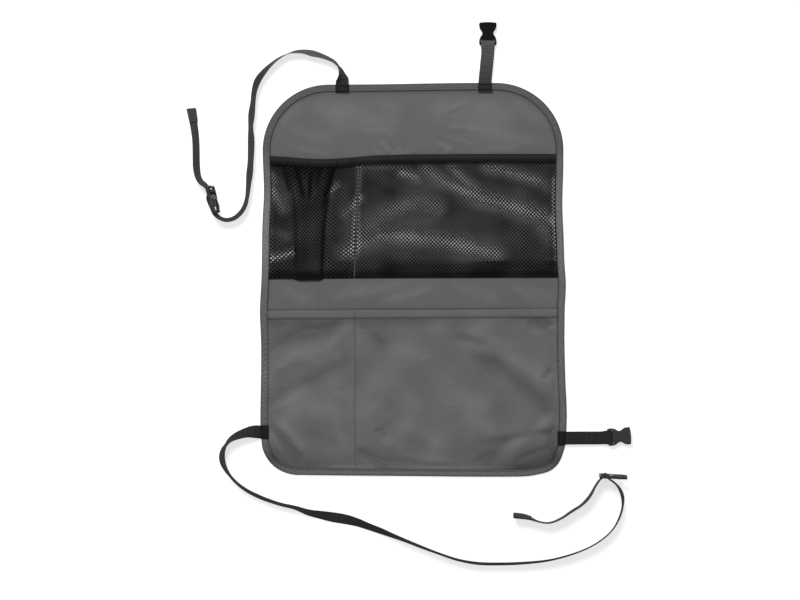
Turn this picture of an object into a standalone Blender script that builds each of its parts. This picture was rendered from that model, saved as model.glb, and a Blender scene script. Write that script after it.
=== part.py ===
# Seat back protector: a cloth panel that hangs behind a car seat, with a mesh pocket,
# a cloth pocket, a bound edge, two long webbing straps with the male halves of
# side release buckles, and two short straps with the female halves.
# It lies flat on its back. X runs across it, Y towards its head end, Z up out of its front.
# The origin is the middle of the flat back of the panel. All sizes are in metres.

import math

import bmesh
import bpy
import numpy as np
from mathutils import Matrix, Vector

MM = 0.001
GAP = 0.0003                      # clearance left between pieces that touch

# Back panel
PANEL_TOP_WIDTH = 0.4496
PANEL_BOTTOM_WIDTH = 0.4578
PANEL_HEIGHT = 0.5867
SIDE_DIFFERENCE = 0.0029          # the right side was cut this much longer than the left
TOP_CORNER_RADIUS = 0.099
BOTTOM_CORNER_RADIUS = 0.057
TOP_CORNER_STEPS = 10
BOTTOM_CORNER_STEPS = 8
PANEL_CLOTH = 0.0010

# Edge binding, a folded tape
BINDING_WIDTH = 0.0102
BINDING_TAPE = 0.0008
BINDING_ROUND = 0.0006
RIM_MARGIN = 0.0018               # the panel stays lifted this far inside the tape
RIM_SLOPE = 0.004                 # and comes down to the floor over this width

# Pockets
POCKET_RISE = 0.0050              # how far a pocket stands off the panel
POCKET_RAMP = 0.016               # width over which it rises from a seam
SEAM_ALLOWANCE = 0.0025           # flat part beside a seam
MESH_CLOTH = 0.0009
MESH_BOTTOM_LEFT_Y = 0.0010
MESH_BOTTOM_RIGHT_Y = 0.0036
MOUTH_LEFT_Y = 0.1866
MOUTH_RIGHT_Y = 0.1886
MOUTH_SAG = 0.0062
MOUTH_SAG_X = -0.135
MOUTH_SAG_WIDTH = 0.062
MESH_DIVIDER_TOP_X = -0.081
MESH_DIVIDER_BOTTOM_X = -0.088
MESH_ROWS = 15
MESH_COLUMNS = 26
MESH_BAR_SHARE = 0.35             # the bar's share of one bar and one gap of the net
BAND_HEIGHT = 0.012
BAND_TAPE = 0.0007
BAND_EASE = 0.002                 # the net is level this far below the band
BAND_FALL = 0.0039                # it comes down from the pleat's layers over this width

# Box pleat of the mesh pocket
PLEAT_BOTTOM_X = -0.1585
PLEAT_TOP_X = -0.156
PLEAT_BOTTOM_HALF = 0.0194
PLEAT_TOP_HALF = 0.028
PLEAT_BOTTOM_DEPTH = 0.012
PLEAT_TOP_DEPTH = 0.005
PLEAT_PITCH = 0.0013              # from one layer of the fold to the next
PLEAT_DROP = 0.002                # the folded part hangs lower by this

# Lower pocket
LOWER_CLOTH = 0.0010
LOWER_TOP_LEFT_Y = -0.0470
LOWER_TOP_RIGHT_Y = -0.0443
LOWER_DIVIDER_X = -0.0863
HEM_HEIGHT = 0.012
HEM_PITCH = 0.0014                # from the front of the hem to its folded back
LOWER_ROWS = 6
LOWER_LEFT_COLUMNS = 6
LOWER_RIGHT_COLUMNS = 10

# Webbing
WEBBING_WIDTH = 0.020
WEBBING_THICKNESS = 0.0012
LAYER_PITCH = WEBBING_THICKNESS + GAP
STRAP_LAP = 0.012                 # how far a sewn end reaches in over the panel
STRAP_LEDGE = 0.0025              # it stays flat this far out past the edge
FOLDED_END = 0.020                # the tail's end is turned back this far
FLOOR_PLAY = 0.0002               # clearance of the lying webbing above the floor
RIBBON_STEP = 0.010
LOOP_STEP = 30                    # degrees between stations round the female half's rod
LOOP_TAPER = 4.0                  # the loop's two layers open over this many loop radii
UPPER_LONG_STRAP_X = -0.1060
UPPER_SHORT_STRAP_X = 0.1079
LOWER_LONG_STRAP_RISE = 0.06505   # the lower straps' middles above the panel's lower edge
LOWER_SHORT_STRAP_RISE = 0.05585

# Side release buckles
MALE_LENGTH = 0.042
MALE_THICKNESS = 0.0044
SLOT_PLAY = 0.001
THREAD_PLAY = 0.0007              # clearance of the webbing round a bar
BEND_START = 0.0012               # the webbing comes up beside the middle bar from here,
BEND_RUN = 0.0022                 # over this length
BEND_DROP = 0.0009                # and by this much to either side of the bar's underside
RAIL_WIDTH = 0.002
BAR_WIDTH = 0.003
SLOT_LENGTH = 0.0044
BASE_LENGTH = 0.0052
PRONG_WIDTH = 0.0030
PRONG_BOW = 0.0018
PRONG_NECK_X = 0.004              # from the middle of the male half: the bow ends,
CATCH_X = 0.0115                  # the catch is widest,
HEAD_X = 0.0165                   # and the head narrows to its tip
HEAD_STEP = 0.0032
TIP_ROUND = 0.0012
TONGUE_WIDTH = 0.0036
TONGUE_LENGTH = 0.013
MALE_BEVEL = 0.0008
FEMALE_LENGTH = 0.0345
FEMALE_WAIST = 0.0162
FEMALE_WALL = 0.0016
FEMALE_BEVEL = 0.0009
WAIST_X = 0.0014
WAIST_SPREAD = 0.0056
WAIST_STEPS = 12
EAR_ROUND = 0.0026
MOUTH_ROUND = 0.0014
MOUTH_CURVE = 0.0009
SOCKET_PLAY = 0.0005
EYE_LENGTH = 0.0092               # from the near end to the body of the female half
EYE_PLAY = 0.0006
ROD_RADIUS = 0.0018
ROD_SEGMENTS = 12
ROD_X = 0.00375                   # from the near end to the middle of the rod
CUT_BEYOND = 0.004                # cutters reach this far past the body

MALE_WIDTH = WEBBING_WIDTH + 2 * (SLOT_PLAY + RAIL_WIDTH)
FEMALE_WIDTH = MALE_WIDTH
SOCKET_HEIGHT = MALE_THICKNESS + 2 * SOCKET_PLAY
FEMALE_HEIGHT = SOCKET_HEIGHT + 2 * FEMALE_WALL

# Heights that follow from the cloths
RIM_LIFT = BINDING_TAPE + GAP
RIM_TOP = RIM_LIFT + PANEL_CLOTH
BINDING_TOP = RIM_TOP + GAP + BINDING_TAPE
SEAM_TOP = max(BINDING_TOP, RIM_TOP + GAP + LOWER_CLOTH) + GAP
RIM_OUT = BINDING_WIDTH + RIM_MARGIN
RIM_IN = RIM_OUT + RIM_SLOPE
POCKET_INSET = BINDING_WIDTH + GAP

# Routes of the long straps: x and y from where the strap leaves the panel, the tilt of the
# webbing from lying flat in degrees, and the height of its lower edge, lengths in millimetres
UPPER_ROUTE = [
    (0, 5.5, 10, 3.3), (-0.2, 10.3, 40, 1.2), (-0.6, 15.3, 60, 0.2), (-2, 20.7, 70, 0),
    (-5.5, 26.7, 80, 0), (-11.5, 33.4, 76, 0), (-20.5, 38.4, 72, 0), (-33, 43.2, 66, 0),
    (-45.5, 46.5, 60, 0), (-57.5, 48.9, 69, 0), (-69.5, 48.8, 75, 0), (-81.5, 45.9, 86, 0),
    (-93.5, 39.9, 80, 0), (-105.8, 30.6, 74, 0), (-117.8, 18.3, 64, 0), (-126.8, 5.5, 58, 0),
    (-131.6, -9.5, 64, 0), (-133.8, -26.7, 66, 0), (-135.9, -44.7, 59, 0), (-137.1, -64.2, 67, 0),
    (-136.5, -83, 59, 0), (-136.7, -100.2, 60, 0), (-137.4, -116.7, 62, 0), (-138.8, -133.2, 59, 0),
    (-140.7, -152.7, 71, 0), (-142.5, -168.5, 80, 0), (-146.6, -183.5, 74, 0), (-154.1, -194.4, 70, 0),
    (-164.6, -201.6, 66, 0), (-175.3, -203.1, 62, 0), (-184.1, -199.8, 63, 0.6), (-190.6, -193.4, 66, 2.0),
    (-194.4, -185.4, 68, 3.6),
]
UPPER_TAIL = [
    (-205.6, -151.3, 68, 0.7), (-211.6, -146.4, 66, 0.3), (-215.6, -139.2, 64, 0), (-218.1, -127.2, 60, 0),
    (-218.8, -112.2, 60, 0), (-219, -97.2, 60, 0), (-219.6, -82.2, 60, 0), (-221.1, -68.7, 58, 0),
    (-223.1, -56.7, 50, 0), (-225, -46.2, 40, 0), (-227, -35.6, 32, 0),
]
UPPER_BUCKLE = (-193.6, -172.2, -75, 68, 8)   # x, y, heading of the prongs, roll and pitch

LOWER_ROUTE = [
    (-5.4, 0.3, 7, 3.5), (-11, 0.3, 20, 2.2), (-17.4, -0.3, 36, 0.9), (-24.9, -2, 47, 0.2),
    (-32.7, -4.7, 54, 0), (-40.2, -8.2, 62, 0), (-46.4, -12.5, 70, 0), (-51.3, -18.5, 76, 0),
    (-55.8, -26.6, 72, 0), (-57.8, -36.7, 64, 0), (-55.9, -47.9, 68, 0), (-51.2, -57.5, 78, 0),
    (-45.8, -65.2, 86, 0), (-35.9, -76.1, 78, 0), (-20.4, -87.7, 74, 0), (-5.2, -95.6, 72, 0),
    (10.3, -101.9, 75, 0), (31, -108.6, 79, 0), (52.3, -113.6, 76, 0), (71.8, -120.5, 62, 0),
    (89.8, -124.1, 56, 0), (107.8, -127.5, 48, 0), (125.8, -130.5, 50, 0), (143.8, -135, 60, 0),
    (161.8, -141.6, 64, 0), (179.8, -148.1, 66, 0), (197.8, -155.2, 73, 0), (215.8, -162.2, 80, 0),
    (238.3, -171.2, 82, 0), (265.8, -182.1, 88, 0), (296.8, -192.6, 84, 0), (323.8, -197.4, 82, 0),
    (359.8, -198.3, 80, 0), (395.8, -196.7, 78, 0), (431.8, -192.6, 83, 0), (467.8, -182.8, 84, 0),
    (494.8, -171.7, 86, 0), (512.8, -160.3, 84, 0), (528.2, -145.3, 86, 0), (537.8, -128, 84, 0),
    (542.5, -110.6, 86, 0), (542.4, -96.7, 82, 0), (538.7, -86.6, 84, 0.4), (532.7, -78.5, 84, 1.6),
    (526.6, -73.2, 84, 2.8),
]
LOWER_TAIL = [
    (506.4, -73.7, 84, 2.6), (501.6, -81, 84, 1.4), (496, -91.7, 80, 0.2), (489.3, -101.1, 78, 0),
    (480.8, -109.4, 82, 0), (466.7, -118.4, 80, 0), (449.8, -129.6, 84, 0), (431.8, -136.1, 86, 0),
    (416.4, -134.1, 84, 0), (404.1, -129.5, 76, 0), (392.1, -126.7, 68, 0), (379.7, -125, 66, 0),
]
LOWER_BUCKLE = (528.3, -66.4, -3, 84, 0)

# Female halves: middle from where the short strap leaves the panel, and the heading in degrees
UPPER_FEMALE_X = 0.0043
UPPER_FEMALE_Y = 0.0739
UPPER_FEMALE_HEADING = 90
LOWER_FEMALE_X = 0.0801
LOWER_FEMALE_Y = 0.0024
LOWER_FEMALE_HEADING = 4.6


def clear_scene():
    for item in list(bpy.data.objects):
        bpy.data.objects.remove(item, do_unlink=True)


def material(name, colour, roughness):
    made = bpy.data.materials.new(name)
    made.use_nodes = True
    shader = made.node_tree.nodes["Principled BSDF"]
    shader.inputs["Base Color"].default_value = (*colour, 1.0)
    shader.inputs["Roughness"].default_value = roughness
    shader.inputs["Metallic"].default_value = 0.0
    return made


def add_object(name, bm, finish, matrix=None):
    mesh = bpy.data.meshes.new(name)
    if bm.calc_volume(signed=True) < 0:
        bmesh.ops.reverse_faces(bm, faces=bm.faces[:])
    bm.to_mesh(mesh)
    bm.free()
    item = bpy.data.objects.new(name, mesh)
    bpy.context.scene.collection.objects.link(item)
    item.data.materials.append(finish)
    if matrix is not None:
        item.matrix_world = matrix
    return item


def add_cutter(target, name, bm, operation="DIFFERENCE"):
    cutter = add_object(name, bm, target.data.materials[0], target.matrix_world)
    cutter.hide_render = True
    cutter.display_type = "WIRE"
    modifier = target.modifiers.new(name, "BOOLEAN")
    modifier.operation = operation
    modifier.solver = "EXACT"
    modifier.object = cutter
    return cutter


# The outline of the panel: a four sided shape with round corners, and the same shape inset

def outline_corners():
    half_high = PANEL_HEIGHT / 2
    tall = half_high + SIDE_DIFFERENCE / 2
    short = half_high - SIDE_DIFFERENCE / 2
    return [
        (Vector((PANEL_TOP_WIDTH / 2, tall)), TOP_CORNER_RADIUS, TOP_CORNER_STEPS),
        (Vector((-PANEL_TOP_WIDTH / 2, short)), TOP_CORNER_RADIUS, TOP_CORNER_STEPS),
        (Vector((-PANEL_BOTTOM_WIDTH / 2, -short)), BOTTOM_CORNER_RADIUS, BOTTOM_CORNER_STEPS),
        (Vector((PANEL_BOTTOM_WIDTH / 2, -tall)), BOTTOM_CORNER_RADIUS, BOTTOM_CORNER_STEPS),
    ]


def outward(start, end):
    """Outward normal of the edge from start to end of a counter-clockwise outline."""
    along = (end - start).normalized()
    return Vector((along.y, -along.x))


def corner_arcs():
    """For each corner: centre, radius, first angle, last angle and steps of its arc."""
    corners = outline_corners()
    arcs = []
    for index, (corner, radius, steps) in enumerate(corners):
        before = corners[index - 1][0]
        after = corners[(index + 1) % 4][0]
        normal_in = outward(before, corner)
        normal_out = outward(corner, after)
        centre = corner - (normal_in + normal_out) * radius / (1 + normal_in.dot(normal_out))
        first = math.atan2(normal_in.y, normal_in.x)
        last = math.atan2(normal_out.y, normal_out.x)
        if last < first:
            last += 2 * math.pi
        arcs.append((centre, radius, first, last, steps))
    return arcs


ARCS = corner_arcs()


def arc_point(corner, share, inset):
    centre, radius, first, last, steps = ARCS[corner]
    angle = first + (last - first) * share
    reach = radius - inset
    return centre.x + reach * math.cos(angle), centre.y + reach * math.sin(angle)


def outline(inset):
    points = []
    for corner, arc in enumerate(ARCS):
        steps = arc[4]
        points += [arc_point(corner, step / steps, inset) for step in range(steps + 1)]
    return points


def side_x(side, y, inset):
    """X of the left (-1) or right (1) straight side of the inset outline at height y."""
    low = arc_point(3, 1, inset) if side > 0 else arc_point(2, 0, inset)
    high = arc_point(0, 0, inset) if side > 0 else arc_point(1, 1, inset)
    return low[0] + (high[0] - low[0]) * (y - low[1]) / (high[1] - low[1])


def top_y(x, inset):
    right = arc_point(0, 1, inset)
    left = arc_point(1, 0, inset)
    return left[1] + (right[1] - left[1]) * (x - left[0]) / (right[0] - left[0])


def inset_of(x, y):
    """How far a point inside the panel is from its outline."""
    point = Vector((x, y))
    corners = [corner[0] for corner in outline_corners()]
    nearest = min(
        -(point - corners[index]).dot(outward(corners[index - 1], corners[index]))
        for index in range(4)
    )
    for centre, radius, first, last, steps in ARCS:
        away = point - centre
        angle = math.atan2(away.y, away.x)
        if angle < first - 1e-6:
            angle += 2 * math.pi
        if first <= angle <= last:
            nearest = min(nearest, radius - away.length)
    return nearest


def panel_top(x, y):
    """Height of the panel's front: lifted along its rim, where the tape lies under it."""
    share = (RIM_IN - inset_of(x, y)) / RIM_SLOPE
    return PANEL_CLOTH + RIM_LIFT * min(1.0, max(0.0, share))


# Meshes made of rings and of grids

def loft(rings, closed_ends=True, around=False):
    """Skin between rings of equal length, with flat ends or joined end to end."""
    bm = bmesh.new()
    made = [[bm.verts.new(point) for point in ring] for ring in rings]
    count = len(rings[0])
    pairs = list(zip(made, made[1:]))
    if around:
        pairs.append((made[-1], made[0]))
    for lower, upper in pairs:
        for index in range(count):
            following = (index + 1) % count
            bm.faces.new((lower[index], lower[following], upper[following], upper[index]))
    if closed_ends and not around:
        bm.faces.new(made[0][::-1])
        bm.faces.new(made[-1])
    return bm


def sheet(rows, gaps=()):
    """One layer of cloth, facing up, through rows of points, without the cells in gaps."""
    bm = bmesh.new()
    made = [[bm.verts.new(point) for point in row] for row in rows]
    for j in range(len(rows) - 1):
        for i in range(len(rows[0]) - 1):
            if (j, i) not in gaps:
                bm.faces.new((made[j][i], made[j][i + 1], made[j + 1][i + 1], made[j + 1][i]))
    for vertex in [v for v in bm.verts if not v.link_faces]:
        bm.verts.remove(vertex)
    return bm


def thicken(item, thickness):
    modifier = item.modifiers.new("thickness", "SOLIDIFY")
    modifier.thickness = thickness
    modifier.offset = 0.0
    modifier.use_even_offset = True
    return item


def prism(loops, low, high):
    """A plate between two heights. The first loop is its outline, the others are holes."""
    bm = bmesh.new()
    for loop in loops:
        ring = [bm.verts.new((x, y, low)) for x, y in loop]
        for index, vertex in enumerate(ring):
            bm.edges.new((vertex, ring[(index + 1) % len(ring)]))
    bmesh.ops.triangle_fill(bm, use_beauty=True, use_dissolve=False, edges=bm.edges[:])
    grown = bmesh.ops.extrude_face_region(bm, geom=bm.faces[:])
    lifted = [part for part in grown["geom"] if isinstance(part, bmesh.types.BMVert)]
    bmesh.ops.translate(bm, verts=lifted, vec=(0, 0, high - low))
    bmesh.ops.recalc_face_normals(bm, faces=bm.faces[:])
    return bm


def box(low, high):
    x0, y0, z0 = low
    x1, y1, z1 = high
    return prism([[(x0, y0), (x1, y0), (x1, y1), (x0, y1)]], z0, z1)


def bevel_edges(item, width, angle=50):
    modifier = item.modifiers.new("edge", "BEVEL")
    modifier.width = width
    modifier.segments = 1
    modifier.limit_method = "ANGLE"
    modifier.angle_limit = math.radians(angle)


# Panel and binding

def back_panel(finish):
    edge = BINDING_TAPE + GAP
    levels = [
        (RIM_IN, 0.0), (RIM_OUT, RIM_LIFT), (edge, RIM_LIFT),
        (edge, RIM_TOP), (RIM_OUT, RIM_TOP), (RIM_IN, PANEL_CLOTH),
    ]
    rings = [[(x, y, z) for x, y in outline(inset)] for inset, z in levels]
    return add_object("back_panel", loft(rings), finish)


def folded_tape_section(width, tape, rounding, low, high):
    """Distance in from the fold and height, round a tape folded over an edge."""
    return [
        (width, low), (rounding, low), (0.0, low + rounding), (0.0, high - rounding),
        (rounding, high), (width, high), (width, high - tape), (tape, high - tape),
        (tape, low + tape), (width, low + tape),
    ]


def edge_binding(finish):
    section = folded_tape_section(BINDING_WIDTH, BINDING_TAPE, BINDING_ROUND, 0.0, BINDING_TOP)
    rings = [[(x, y, z) for x, y in outline(inset)] for inset, z in section]
    return add_object("edge_binding", loft(rings, around=True), finish)


# Pockets

def ramp(distance):
    share = min(1.0, max(0.0, (distance - SEAM_ALLOWANCE) / POCKET_RAMP))
    return share * share * (3 - 2 * share)


def line_at(low, high, share):
    return low + (high - low) * share


def mouth_y(x):
    share = (x + PANEL_TOP_WIDTH / 2) / PANEL_TOP_WIDTH
    sag = MOUTH_SAG * math.exp(-(((x - MOUTH_SAG_X) / MOUTH_SAG_WIDTH) ** 2))
    return line_at(MOUTH_LEFT_Y, MOUTH_RIGHT_Y, share) - sag


def mesh_bottom_y(x):
    share = (x + PANEL_TOP_WIDTH / 2) / PANEL_TOP_WIDTH
    drop = PLEAT_DROP * math.exp(-(((x - PLEAT_BOTTOM_X) / PLEAT_BOTTOM_HALF) ** 4))
    return line_at(MESH_BOTTOM_LEFT_Y, MESH_BOTTOM_RIGHT_Y, share) - drop


def mesh_divider_x(y):
    share = (y - MESH_BOTTOM_RIGHT_Y) / (MOUTH_RIGHT_Y - MESH_BOTTOM_RIGHT_Y)
    return line_at(MESH_DIVIDER_BOTTOM_X, MESH_DIVIDER_TOP_X, share)


def pocket_rise(x, y, divider_x, bottom_y):
    """A pocket stands off the panel, except along its side seams, divider and bottom."""
    seam = inset_of(x, y) - POCKET_INSET
    return POCKET_RISE * ramp(seam) * ramp(abs(x - divider_x)) * ramp(y - bottom_y)


def mesh_height(x, y):
    """Middle of the net, lifted near the mouth by the band's back leaf."""
    bottom = mesh_bottom_y(x)
    level = mouth_y(x) - BAND_HEIGHT - BAND_EASE
    in_band = min(1.0, max(0.0, (y - bottom) / (level - bottom))) ** 3
    height = panel_top(x, min(y, level)) + GAP + MESH_CLOTH / 2 + (GAP + BAND_TAPE) * in_band
    return height + pocket_rise(x, min(y, level), mesh_divider_x(y), bottom)


def pleat_stations(share):
    """Across the box pleat: distance from its middle and layer, at a share of its height."""
    half = line_at(PLEAT_BOTTOM_HALF, PLEAT_TOP_HALF, share)
    depth = line_at(PLEAT_BOTTOM_DEPTH, PLEAT_TOP_DEPTH, share)
    turn = PLEAT_PITCH / 2
    left = [
        (-half + depth - turn, 0.0), (-half + depth, 0.5), (-half + depth - turn, 1.0),
        (-half + turn, 1.0), (-half, 1.5), (-half + turn, 2.0),
    ]
    right = [(-across, layer) for across, layer in reversed(left)]
    middle = line_at(PLEAT_BOTTOM_X, PLEAT_TOP_X, share)
    return [(middle + across, layer) for across, layer in left + [(0.0, 2.0)] + right]


LEFT_OF_PLEAT = (0.0, 0.16, 0.50)
RIGHT_OF_PLEAT = (0.27, 0.50, 0.62, 0.87)
PLEAT_COLUMNS = len(LEFT_OF_PLEAT) + 13


def net_columns(left, right):
    """Columns between two seams that take turns between a bar and a gap of the net."""
    pairs = MESH_COLUMNS // 2
    pitch = (right - left) / (pairs + MESH_BAR_SHARE)
    columns = [left]
    for pair in range(pairs):
        columns += [left + pitch * (pair + MESH_BAR_SHARE), left + pitch * (pair + 1)]
    return columns + [right]


def mesh_stations(y, share):
    """X and layer of each column of the net at a height."""
    left = side_x(-1, y, POCKET_INSET)
    right = side_x(1, y, POCKET_INSET)
    divider = mesh_divider_x(y)
    pleat = pleat_stations(share)
    stations = [(line_at(left, pleat[0][0], part), 0.0) for part in LEFT_OF_PLEAT]
    stations += pleat
    stations += [(line_at(pleat[-1][0], divider, part), 0.0) for part in RIGHT_OF_PLEAT]
    return stations + [(x, 0.0) for x in net_columns(divider, right)]


def mesh_rows():
    """Points of the net's middle layer, row by row from its bottom seam to its mouth."""
    rows = []
    for j in range(MESH_ROWS + 1):
        pair, odd = divmod(j, 2)
        share = (pair + odd * MESH_BAR_SHARE) / ((MESH_ROWS - 1) / 2 + MESH_BAR_SHARE)
        rows.append(mesh_row(share, 0.0))
    rows.append(mesh_row(1.0, BAND_EASE))
    rows.append(mesh_row(1.0, BAND_EASE + BAND_HEIGHT - BAND_TAPE - 2 * GAP))
    return rows


def mesh_row(share, beyond):
    row = []
    level_y = line_at(MESH_BOTTOM_RIGHT_Y, MOUTH_RIGHT_Y - BAND_HEIGHT, share)
    for x, layer in mesh_stations(level_y, share):
        bottom = mesh_bottom_y(x)
        level = mouth_y(x) - BAND_HEIGHT - BAND_EASE
        y = line_at(bottom, level, share) + beyond
        row.append((x, y, mesh_height(x, y) + layer * PLEAT_PITCH))
    return row


def mesh_gaps(columns):
    """Cells left open: every second one both ways, clear of the pleat and the seams."""
    beside_pleat = {1, PLEAT_COLUMNS, PLEAT_COLUMNS + 2}
    right_cell = columns - 1 - (MESH_COLUMNS + 1)
    open_columns = beside_pleat | {right_cell + 1 + 2 * n for n in range(MESH_COLUMNS // 2)}
    return {(j, i) for j in range(1, MESH_ROWS - 1, 2) for i in open_columns}


def mesh_pocket(finish):
    rows = mesh_rows()
    gaps = mesh_gaps(len(rows[0]))
    return thicken(add_object("mesh_pocket", sheet(rows, gaps), finish), MESH_CLOTH)


def mesh_pocket_band(finish):
    """Elastic tape folded over the net's upper edge, wider where it holds the pleat."""
    reach = MESH_CLOTH / 2 + GAP + BAND_TAPE
    top_row = mesh_rows()[-1]
    pleat = pleat_stations(1.0)
    first, last = pleat[4][0] - GAP, pleat[8][0] + GAP
    fall = BAND_FALL - GAP
    edges = [first, last, first - fall, last + fall]
    rings = []
    for x in sorted({round(x, 6) for x in [point[0] for point in top_row] + edges}):
        mouth = mouth_y(x)
        middle = mesh_height(x, mouth)
        outside = max(first - x, x - last, 0.0)
        stack = 2 * PLEAT_PITCH * max(0.0, 1 - outside / fall)
        low, high = middle - reach, middle + reach + stack
        section = folded_tape_section(BAND_HEIGHT, BAND_TAPE, BINDING_ROUND, low, high)
        rings.append([(x, mouth - inward, z) for inward, z in section])
    return add_object("mesh_pocket_band", loft(rings), finish)


def lower_top_y(x):
    share = (x + PANEL_BOTTOM_WIDTH / 2) / PANEL_BOTTOM_WIDTH
    return line_at(LOWER_TOP_LEFT_Y, LOWER_TOP_RIGHT_Y, share)


def lower_height(x, y):
    bottom = -PANEL_HEIGHT / 2 + POCKET_INSET
    level = lower_top_y(x) - HEM_HEIGHT
    in_hem = min(1.0, max(0.0, (y - bottom) / (level - bottom))) ** 3
    height = panel_top(x, y) + GAP + LOWER_CLOTH / 2 + HEM_PITCH * in_hem
    return height + pocket_rise(x, min(y, level), LOWER_DIVIDER_X, bottom)


def lower_columns(left, right):
    """Columns that crowd towards the seams, where the cloth rises."""
    def crowded(start, end, count):
        shares = [0.5 - 0.5 * math.cos(math.pi * step / count) for step in range(count + 1)]
        return [line_at(start, end, share) for share in shares]
    left_cell = crowded(left, LOWER_DIVIDER_X, LOWER_LEFT_COLUMNS)
    return left_cell + crowded(LOWER_DIVIDER_X, right, LOWER_RIGHT_COLUMNS)[1:]


def lower_row_ends():
    """Left and right ends of each row of cloth, from the bottom seam up to the hem."""
    ends = []
    for step in range(BOTTOM_CORNER_STEPS + 1):
        share = step / BOTTOM_CORNER_STEPS
        left = arc_point(2, 1 - share, POCKET_INSET)
        right = arc_point(3, share, POCKET_INSET)
        ends.append((left, right))
    left_low, right_low = ends[-1]
    left_high = lower_top_y(left_low[0]) - HEM_HEIGHT
    right_high = lower_top_y(right_low[0]) - HEM_HEIGHT
    for step in range(1, LOWER_ROWS + 1):
        left_y = line_at(left_low[1], left_high, step / LOWER_ROWS)
        right_y = line_at(right_low[1], right_high, step / LOWER_ROWS)
        left = (side_x(-1, left_y, POCKET_INSET), left_y)
        right = (side_x(1, right_y, POCKET_INSET), right_y)
        ends.append((left, right))
    return ends


def lower_pocket(finish):
    rows = []
    for (left_x, left_y), (right_x, right_y) in lower_row_ends():
        row = []
        for x in lower_columns(left_x, right_x):
            y = line_at(left_y, right_y, (x - left_x) / (right_x - left_x))
            row.append((x, y, lower_height(x, y)))
        rows.append(row)
    hem = rows[-1]
    turn = HEM_PITCH / 2
    rise = HEM_HEIGHT - LOWER_CLOTH / 2
    for up, layer in ((rise - turn, 0.0), (rise, 0.5), (rise - turn, 1.0), (0.0, 1.0)):
        rows.append([(x, y + up, z - layer * HEM_PITCH) for x, y, z in hem])
    return thicken(add_object("lower_pocket", sheet(rows), finish), LOWER_CLOTH)


# Webbing: a flat ribbon along a smooth curve, with its own tilt at each point

def smooth(points, counts):
    """Cubic curve through points, with slopes weighted by the lengths on either side."""
    points = np.array(points)
    lengths = np.linalg.norm(np.diff(points[:, :3], axis=0), axis=1)
    speeds = np.diff(points, axis=0) / lengths[:, None]
    slopes = np.empty_like(points)
    slopes[0], slopes[-1] = speeds[0], speeds[-1]
    before, after = lengths[:-1, None], lengths[1:, None]
    slopes[1:-1] = (speeds[:-1] * after + speeds[1:] * before) / (before + after)
    curve = []
    for index, count in enumerate(counts):
        t = np.linspace(0, 1, count, endpoint=False)[:, None]
        span = lengths[index]
        start, end = points[index], points[index + 1]
        curve.append(
            (2 * t**3 - 3 * t**2 + 1) * start + (t**3 - 2 * t**2 + t) * span * slopes[index]
            + (3 * t**2 - 2 * t**3) * end + (t**3 - t**2) * span * slopes[index + 1]
        )
    curve.append(points[-1:])
    return np.vstack(curve)


def unit(vectors):
    return vectors / np.linalg.norm(vectors, axis=-1, keepdims=True)


def ribbon_frames(centres, sides):
    """Smooth centres, width directions and face normals through the given points."""
    keys = np.hstack([centres, unit(np.array(sides)) * 0.01])
    lengths = np.linalg.norm(np.diff(keys[:, :3], axis=0), axis=1)
    counts = [max(1, math.ceil(length / RIBBON_STEP)) for length in lengths]
    curve = smooth(keys, counts)
    middle, side = curve[:, :3], curve[:, 3:]
    along = unit(np.gradient(middle, axis=0))
    side = unit(side - np.sum(side * along, axis=1, keepdims=True) * along)
    return middle, side, np.cross(along, side)


def ribbon(middle, side, face):
    half = side * WEBBING_WIDTH / 2
    rise = face * WEBBING_THICKNESS / 2
    low_left, low_right = middle - half - rise, middle + half - rise
    rings = np.stack([low_left, low_right, low_right + 2 * rise, low_left + 2 * rise], 1)
    return loft([[tuple(corner) for corner in ring] for ring in rings])


def lying(points, exit_point):
    """Centres and widths of webbing that lies or stands on the floor at its own tilt."""
    exit_x, exit_y = exit_point
    plan = np.array([(exit_x + x * MM, exit_y + y * MM, 0.0) for x, y, tilt, lift in points])
    along = unit(np.gradient(plan, axis=0))
    left = np.stack([-along[:, 1], along[:, 0], 0 * along[:, 0]], 1)
    tilt = np.radians([point[2] for point in points])[:, None]
    lift = np.array([point[3] for point in points]) * MM + FLOOR_PLAY
    sides = np.cos(tilt) * left + np.sin(tilt) * np.array([0.0, 0.0, 1.0])
    half_rise = np.sin(tilt) * WEBBING_WIDTH / 2 + np.abs(np.cos(tilt)) * WEBBING_THICKNESS / 2
    plan[:, 2] = lift + half_rise[:, 0]
    return plan, sides


def folded_back(middle, side, face):
    """The end of the webbing turned back on itself, one layer pitch above."""
    from_end = np.cumsum(np.linalg.norm(np.diff(middle[::-1], axis=0), axis=1))
    count = int(np.searchsorted(from_end, FOLDED_END)) + 1
    back = middle[::-1][:count] + face[::-1][:count] * LAYER_PITCH
    along = unit(middle[-1:] - middle[-2:-1])
    turn = (middle[-1:] + back[:1]) / 2 + along * LAYER_PITCH / 2
    middle = np.vstack([middle, turn, back])
    side = np.vstack([side, side[-1:], side[::-1][:count]])
    face = np.vstack([face, along, -face[::-1][:count]])
    return middle, side, face


def long_strap(name, finish, start, route, buckle, tail):
    exit_point = start[1]
    before, before_sides = lying(route, exit_point)
    after, after_sides = lying(tail, exit_point)
    threaded = [buckle @ Vector(point) for point in threading_points()]
    width = -(buckle.to_3x3() @ Vector((0, 1, 0)))
    travel = unit(np.array(start[1]) - np.array(start[0]))
    ledge = np.array(start[1]) + travel * STRAP_LEDGE
    sewn = [(*point, SEAM_TOP + WEBBING_THICKNESS / 2) for point in (*start, ledge)]
    left = (-travel[1], travel[0], 0.0)
    centres = np.vstack([sewn, before, threaded, after])
    sides = np.vstack([[left] * len(sewn), before_sides, [width] * len(threaded), after_sides])
    frames = folded_back(*ribbon_frames(centres, sides))
    return add_object(name, ribbon(*frames), finish)


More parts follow.
